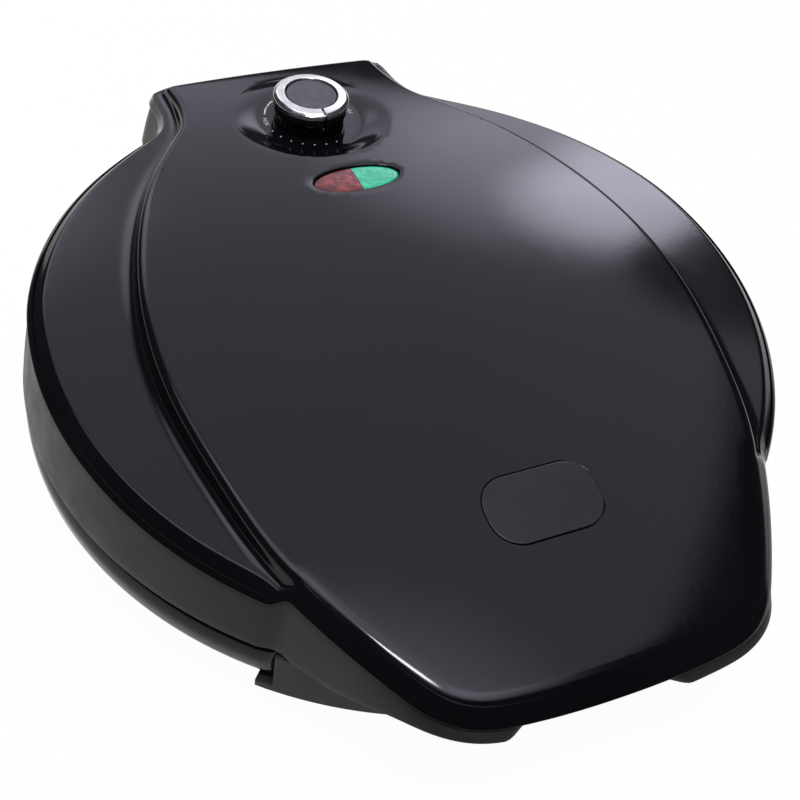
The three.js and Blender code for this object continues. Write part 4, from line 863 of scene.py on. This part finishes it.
def build_gland():
    profile = rounded([(3.6, -6.6), (8, -6.6), (8, 0.3), (10, 0.3), (10, 3), (7.7, 5), (3.6, 5)],
                      [0, 0.4, 0.2, 0.5, 0.8, 0.6, 0.6], True, 4)
    rows = [[(r * cos(t), REAR_BACK + along, 19.75 + r * sin(t)) for t in turns_of(56)]
            for r, along in profile]
    make("inlet_gland", Skin().grid(rows, endless=True), "base", "rubber", ["cord_gland"], sharp=35)


# Knob

KNOB_LOW = DISH_FLOOR + 0.8
COLLAR_TOP = KNOB_LOW + 10.0
GROOVE_WIDTH, GROOVE_DEPTH, GROOVE_RADIUS = 1.3, 1.2, 18.5
GROOVE_SOFT = (0.85, 1.15)  # its edge, in shares of half the width


def grooved(profile, steps, low, high, outside, top=math.inf):
    """Rows round the knob's axis, with a groove at -Y between two heights.

    It cuts into radii that lie outside, and down into heights above the top.
    """
    turns = turns_of(steps)
    edge = math.asin(GROOVE_WIDTH / 2 / GROOVE_RADIUS)
    for share in (-GROOVE_SOFT[1], -GROOVE_SOFT[0], 0, *GROOVE_SOFT):
        turns.append((-pi / 2 + edge * share) % (2 * pi))
    turns = sorted(set(turns))
    rows = []
    for r, z in profile:
        row = []
        for t in turns:
            off = abs((t + pi / 2 + pi) % (2 * pi) - pi) * GROOVE_RADIUS
            inside = 1 - float(smooth(*(GROOVE_WIDTH / 2 * share for share in GROOVE_SOFT), off))
            deep = GROOVE_DEPTH * inside if low <= z <= high else 0.0
            far = r - deep if r > outside else r
            row.append((*polar(far, t, 0, KNOB_Y), z - 1.3 * deep if z > top else z))
        rows.append(row)
    return rows


def build_knob():
    body = rounded([(5.6, KNOB_LOW), (5.6, COLLAR_TOP - 2.8), (15.8, COLLAR_TOP - 2.8), (15.8, KNOB_LOW),
                    (17.6, KNOB_LOW), (17.6, KNOB_LOW + 5.6), (18.4, KNOB_LOW + 5.75), (18.4, COLLAR_TOP),
                    (0, COLLAR_TOP)], [0, 0, 0, 0.3, 0.5, 0.12, 0.3, 0.5, 0], steps=4)
    fine = subdivided(body, 0.8, lambda r0, z0, r1, z1: min(r0, r1) > 17)
    skin = Skin().grid(grooved(fine, 128, KNOB_LOW + 4.6, COLLAR_TOP + 1, 17))
    make("knob_skirt", skin, "knob", "gloss_black", ["knob_body"], sharp=35)

    low, high = COLLAR_TOP + 0.3, COLLAR_TOP + 3.9
    ring = rounded([(12.7, low), (18.7, low), (18.7, high - 1.7), (17.0, high - 0.35), (13.4, high),
                    (12.7, high - 0.7)], [0, 0.3, 0.9, 1.6, 0.4, 0.2], True, 6)
    fine = subdivided(ring, 0.7, lambda r0, z0, r1, z1: r0 + r1 > 25.6 and max(z0, z1) > low + 0.4, True)
    skin = Skin().grid(grooved(fine, 160, low - 1, high + 1, 18.2, high - 1.9), endless=True)
    make("knob_rim", skin, "knob", "knob_chrome", ["knob_ring"], sharp=35)

    cap = rounded([(0, low), (12.3, low), (12.3, low + 2.9), (11.5, low + 2.9), (9.5, low + 2.8),
                   (0, low + 2.78)], [0, 0.2, 0.3, 0.4, 4, 0])
    make("knob_inset", Skin().lathe(cap, 96, 0, KNOB_Y), "knob", "satin_black", ["knob_cap"], sharp=35)


# Lamp window, label, dial marks


def build_lenses():
    top = panel_height(0.0, LENS_Y) - 0.7
    bottom = top - 4.4
    dome = [(0, 0), (0.25, 0.01), (0.5, 0.05), (0.7, 0.12), (0.84, 0.22), (0.93, 0.36), (0.98, 0.52),
            (1, 0.8)]
    length, width = LENS_LENGTH - CLEARANCE, LENS_WIDTH - CLEARANCE
    turns = [mix(-pi / 2, pi / 2, t) for t in shares(40)]
    for side, word in ((-1, "red"), (1, "green")):
        rows = []
        for share, drop in dome:
            rows.append([(side * max(CLEARANCE / 2, length * share * cos(t)),
                          LENS_Y + width * share * sin(t), top - drop) for t in turns])
        rows.append([(x, y, bottom) for x, y, _ in rows[-1]])
        rows.append([(side * CLEARANCE / 2, LENS_Y, bottom) for _ in turns])
        skin = Skin().grid(rows, around=False)
        skin.cap([row[0] for row in rows] + [row[-1] for row in reversed(rows)])
        make(f"window_{word}", skin, "lid", f"{word}_lens", [f"lens_{word}"])


def build_label():
    base, reach = panel_height(0.0, LABEL_Y), 12
    rise = panel_height(0.0, LABEL_Y + reach) - panel_height(0.0, LABEL_Y - reach)
    tilt = math.atan(rise / (2 * reach))
    rows = []
    for grow, z in ((-0.05, -0.7), (0.0, -0.25), (-0.06, -0.02), (-0.25, 0.08), (-0.6, 0.1)):
        rows.append([(x, LABEL_Y + y * cos(tilt) - z * sin(tilt),
                      base + y * sin(tilt) + z * cos(tilt)) for x, y in label_outline(grow)])
    skin = Skin().grid(rows).cap(rows[0][::-1], rows[-1])
    make("bare_plate", skin, "lid", "plain_plate", ["label_plate"])


# The strokes of the dial's letters, in shares of their height, with how wide each letter is
STROKES = {
    "M": [((0, 0), (0, 1)), ((0, 1), (0.4, 0.35)), ((0.4, 0.35), (0.8, 1)), ((0.8, 1), (0.8, 0))],
    "I": [((0.15, 0), (0.15, 1))],
    "N": [((0, 0), (0, 1)), ((0, 1), (0.65, 0)), ((0.65, 0), (0.65, 1))],
    "A": [((0, 0), (0.35, 1)), ((0.35, 1), (0.7, 0)), ((0.14, 0.35), (0.56, 0.35))],
    "X": [((0, 0), (0.65, 1)), ((0, 1), (0.65, 0))],
}
WIDTHS = {"M": 0.8, "I": 0.3, "N": 0.65, "A": 0.7, "X": 0.65}
LETTER_GAP, STROKE_WIDTH, LETTER_SIZE = 0.28, 0.13, 2.4
MARKS_LEVEL, MARKS_THICK = DISH_FLOOR + 0.03, 0.02
DOT_CIRCLE, DOT_RADIUS, WORD_CIRCLE = 22.4, 0.42, 22.2


def build_marks():
    """The dial's printed marks on the floor of the dish: dots, an arc and the words MIN and MAX."""
    skin = Skin()

    def spot(angle, radius):
        """A place on the dial; the angle is from the front, positive to the right."""
        t = radians(angle)
        return np.array([radius * sin(t), KNOB_Y - radius * cos(t)])

    def plate(corners):
        skin.slab([(x, y, MARKS_LEVEL - MARKS_THICK) for x, y in corners],
                  [(x, y, MARKS_LEVEL + MARKS_THICK) for x, y in corners])

    def word(text, centre):
        at = LETTER_GAP / 2 - sum(WIDTHS[c] + LETTER_GAP for c in text) / 2
        for c in text:
            for stroke in STROKES[c]:
                a, b = (spot(centre + math.degrees((at + x) * LETTER_SIZE / WORD_CIRCLE),
                             WORD_CIRCLE - (y - 0.5) * LETTER_SIZE) for x, y in stroke)
                way = (b - a) / np.linalg.norm(b - a)
                side = np.array([-way[1], way[0]]) * STROKE_WIDTH * LETTER_SIZE / 2
                plate([a - side, b - side, b + side, a + side])
            at += WIDTHS[c] + LETTER_GAP

    for angle in range(-75, 30, 15):
        plate([polar(DOT_RADIUS, t, *spot(angle, DOT_CIRCLE)) for t in turns_of(12)])
    angles = np.linspace(-146, -112, 24)
    inner = [spot(a, DOT_CIRCLE - 0.7) for a in angles]
    outer = [spot(a, DOT_CIRCLE + 0.15 * sin(pi * k / 23)) for k, a in enumerate(angles)]
    for k in range(23):
        plate([inner[k], inner[k + 1], outer[k + 1], outer[k]])
    word("MIN", -96)
    word("MAX", 96)
    make("dial_marks", skin, "lid", "print_white", sharp=30)


build_cover()
build_skirt()
build_carrier()
build_bezel()
build_housing()
build_plate("upper_casting", UPPER_FACE, 1, "upper_plate")
build_plate("lower_casting", LOWER_FACE, -1, "lower_plate")
build_feet()
build_hinge()
build_gland()
build_knob()
build_lenses()
build_label()
build_marks()
for i, (x, y, level) in enumerate([(-46, -172, 51.2), (46, -172, 51.2), (-30, 171, 53.2), (30, 171, 53.2)]):
    screw_piece("cover_screw", i + 1, x, y, level, 1.1, 9.0, "lid")

# Inner nodes keep their shape and get a finish

INNER = {
    "element": "heater_sheath", "reflector": "reflector_steel", "clamp": "plain_steel",
    "plate_screw": "plain_steel", "thermal_fuse": "ceramic", "terminal_block": "nylon",
    "thermostat_bracket": "plain_steel", "thermostat_body": "ceramic", "thermostat_shaft": "plain_steel",
    "lamp_holder": "nylon", "lamp_red": "neon_glass", "lamp_green": "neon_glass",
}
for name, node in nodes.items():
    if node.hide_render:
        continue
    key = next(k for k in INNER if k in name)
    node.data.materials.clear()
    node.data.materials.append(looks[INNER[key]])

# Floor, light and world

FLOOR_GLOW = 0.97  # how white the floor looks beside its paper
FLOOR_REACH = 6
PAPER, SKY, WHITE = (0.82, 0.82, 0.82, 1), (0.95, 0.93, 1.12, 1), (1, 1, 1, 1)

# Soft spots of the studio: azimuth and elevation, the angles where each ends and where it is full, and its
# brightness, where 1 is white. A cut is the half of the studio that a spot keeps to, and the gap is a share
# that is taken off.
CEILING, CEILING_CUT = (-21.6, 58, 55.5, 52.5, 1.2), (83, 0, 100, 84, 1)
HAZE = (40, 28, 16, 2, 2.4)
GAP = (58, 35, 8, 4.5, 0.8)
WINDOW, WINDOW_CUT = (47, 32, 9, 2, 5.6), (-39, 0, 91, 89, 1)
GLOWS = {
    "left": (-72, 75, 17, 5, 3.2),
    "side": (-38, 63, 12, 4, 2.0),
    "front": (160, 78, 22, 6, 2.2),
    "corner": (142, 67, 13, 3, 1.6),
    "back": (-4, 34, 15, 5, 1.6),
}
DIM = 0.06
KEY, FILL = 56.0, 26.0


def compass(azimuth, elevation, reach=1.0):
    """A direction, or a place at some reach in metres; azimuth is from +Y towards +X."""
    a, e = radians(azimuth), radians(elevation)
    return (reach * sin(a) * cos(e), reach * cos(a) * cos(e), reach * sin(e))


class Light(Tree):
    """The nodes of the floor's or the world's shader."""

    def __init__(self, owner, kind):
        super().__init__(owner)
        self.tree.nodes.clear()
        self.output = self.tree.nodes.new(kind)

    def math(self, operation, *values):
        made = self.node("ShaderNodeMath", operation=operation)
        for socket, value in zip(made.inputs, values):
            self.feed(socket, value)
        return made.outputs[0]

    def seen(self, *kinds):
        """1 for the kinds of ray that are named, 0 for the others."""
        rays = self.tree.nodes.new("ShaderNodeLightPath")
        total = rays.outputs[kinds[0]]
        for kind in kinds[1:]:
            total = self.math("MAXIMUM", total, rays.outputs[kind])
        return total

    def mixed(self, share, first, second):
        made = self.node("ShaderNodeMixShader", Fac=share)
        self.feed(made.inputs[1], first.outputs[0])
        self.feed(made.inputs[2], second.outputs[0])
        self.feed(self.output.inputs["Surface"], made.outputs[0])

    def glow(self, azimuth, elevation, far, near, level):
        """A soft spot: nothing beyond the angle far from its direction, its level within the angle near."""
        way = self.node("ShaderNodeTexCoord").outputs["Generated"]
        dot = self.node("ShaderNodeVectorMath", operation="DOT_PRODUCT", Vector=way)
        dot.inputs[1].default_value = compass(azimuth, elevation)
        made = self.node("ShaderNodeMapRange", interpolation_type="SMOOTHSTEP", Value=dot.outputs["Value"],
                         From_Min=cos(radians(far)), From_Max=cos(radians(near)))
        return self.math("MULTIPLY", made.outputs["Result"], level)


floor_mesh = bpy.data.meshes.new("floor")
floor_corners = [(x * FLOOR_REACH, y * FLOOR_REACH, 0) for x, y in ((-1, -1), (1, -1), (1, 1), (-1, 1))]
floor_mesh.from_pydata(floor_corners, [], [(0, 1, 2, 3)])
floor = bpy.data.objects.new("floor", floor_mesh)
collection.objects.link(floor)
paper = bpy.data.materials.new("floor_paper")
light = Light(paper, "ShaderNodeOutputMaterial")
seen = light.seen("Is Camera Ray", "Is Glossy Ray", "Is Transmission Ray")
share = light.math("MULTIPLY", seen, FLOOR_GLOW)
light.mixed(share, light.node("ShaderNodeBsdfDiffuse", Color=PAPER),
            light.node("ShaderNodeEmission", Color=WHITE))
floor_mesh.materials.append(paper)

world = bpy.data.worlds.new("studio")
scene.world = world
light = Light(world, "ShaderNodeOutputWorld")
ceiling = light.math("MULTIPLY", light.glow(*CEILING), light.glow(*CEILING_CUT))
window = light.math("MULTIPLY", light.glow(*WINDOW), light.glow(*WINDOW_CUT))
kept = light.math("SUBTRACT", 1, light.glow(*GAP))
total = light.math("MULTIPLY", light.math("ADD", ceiling, light.glow(*HAZE)), kept)
for glow in (window, *(light.glow(*spot) for spot in GLOWS.values()), DIM):
    total = light.math("ADD", total, glow)
sky = light.node("ShaderNodeBackground", Color=SKY, Strength=total)
light.mixed(light.seen("Is Camera Ray"), sky, light.node("ShaderNodeBackground", Color=WHITE))


def area_light(name, azimuth, elevation, reach, width, height, glow, color=(1, 1, 1), mirrored=True):
    """A rectangular lamp that faces the object; glow is how bright its face looks, where 1 is white."""
    data = bpy.data.lights.new(name, "AREA")
    data.shape = "RECTANGLE"
    data.size, data.size_y = width, height
    data.energy = glow * pi * width * height
    data.color = color
    lamp = bpy.data.objects.new(name, data)
    collection.objects.link(lamp)
    lamp.visible_glossy = mirrored
    lamp.location = compass(azimuth, elevation, reach)
    lamp.rotation_euler = (Vector((0, 0, 0.05)) - lamp.location).to_track_quat("-Z", "Y").to_euler()


area_light("key", -160, 72, 2.0, 0.36, 0.16, KEY)
area_light("side_fill", -50, 10, 1.6, 0.5, 0.4, FILL, (1, 1, 0.94), mirrored=False)
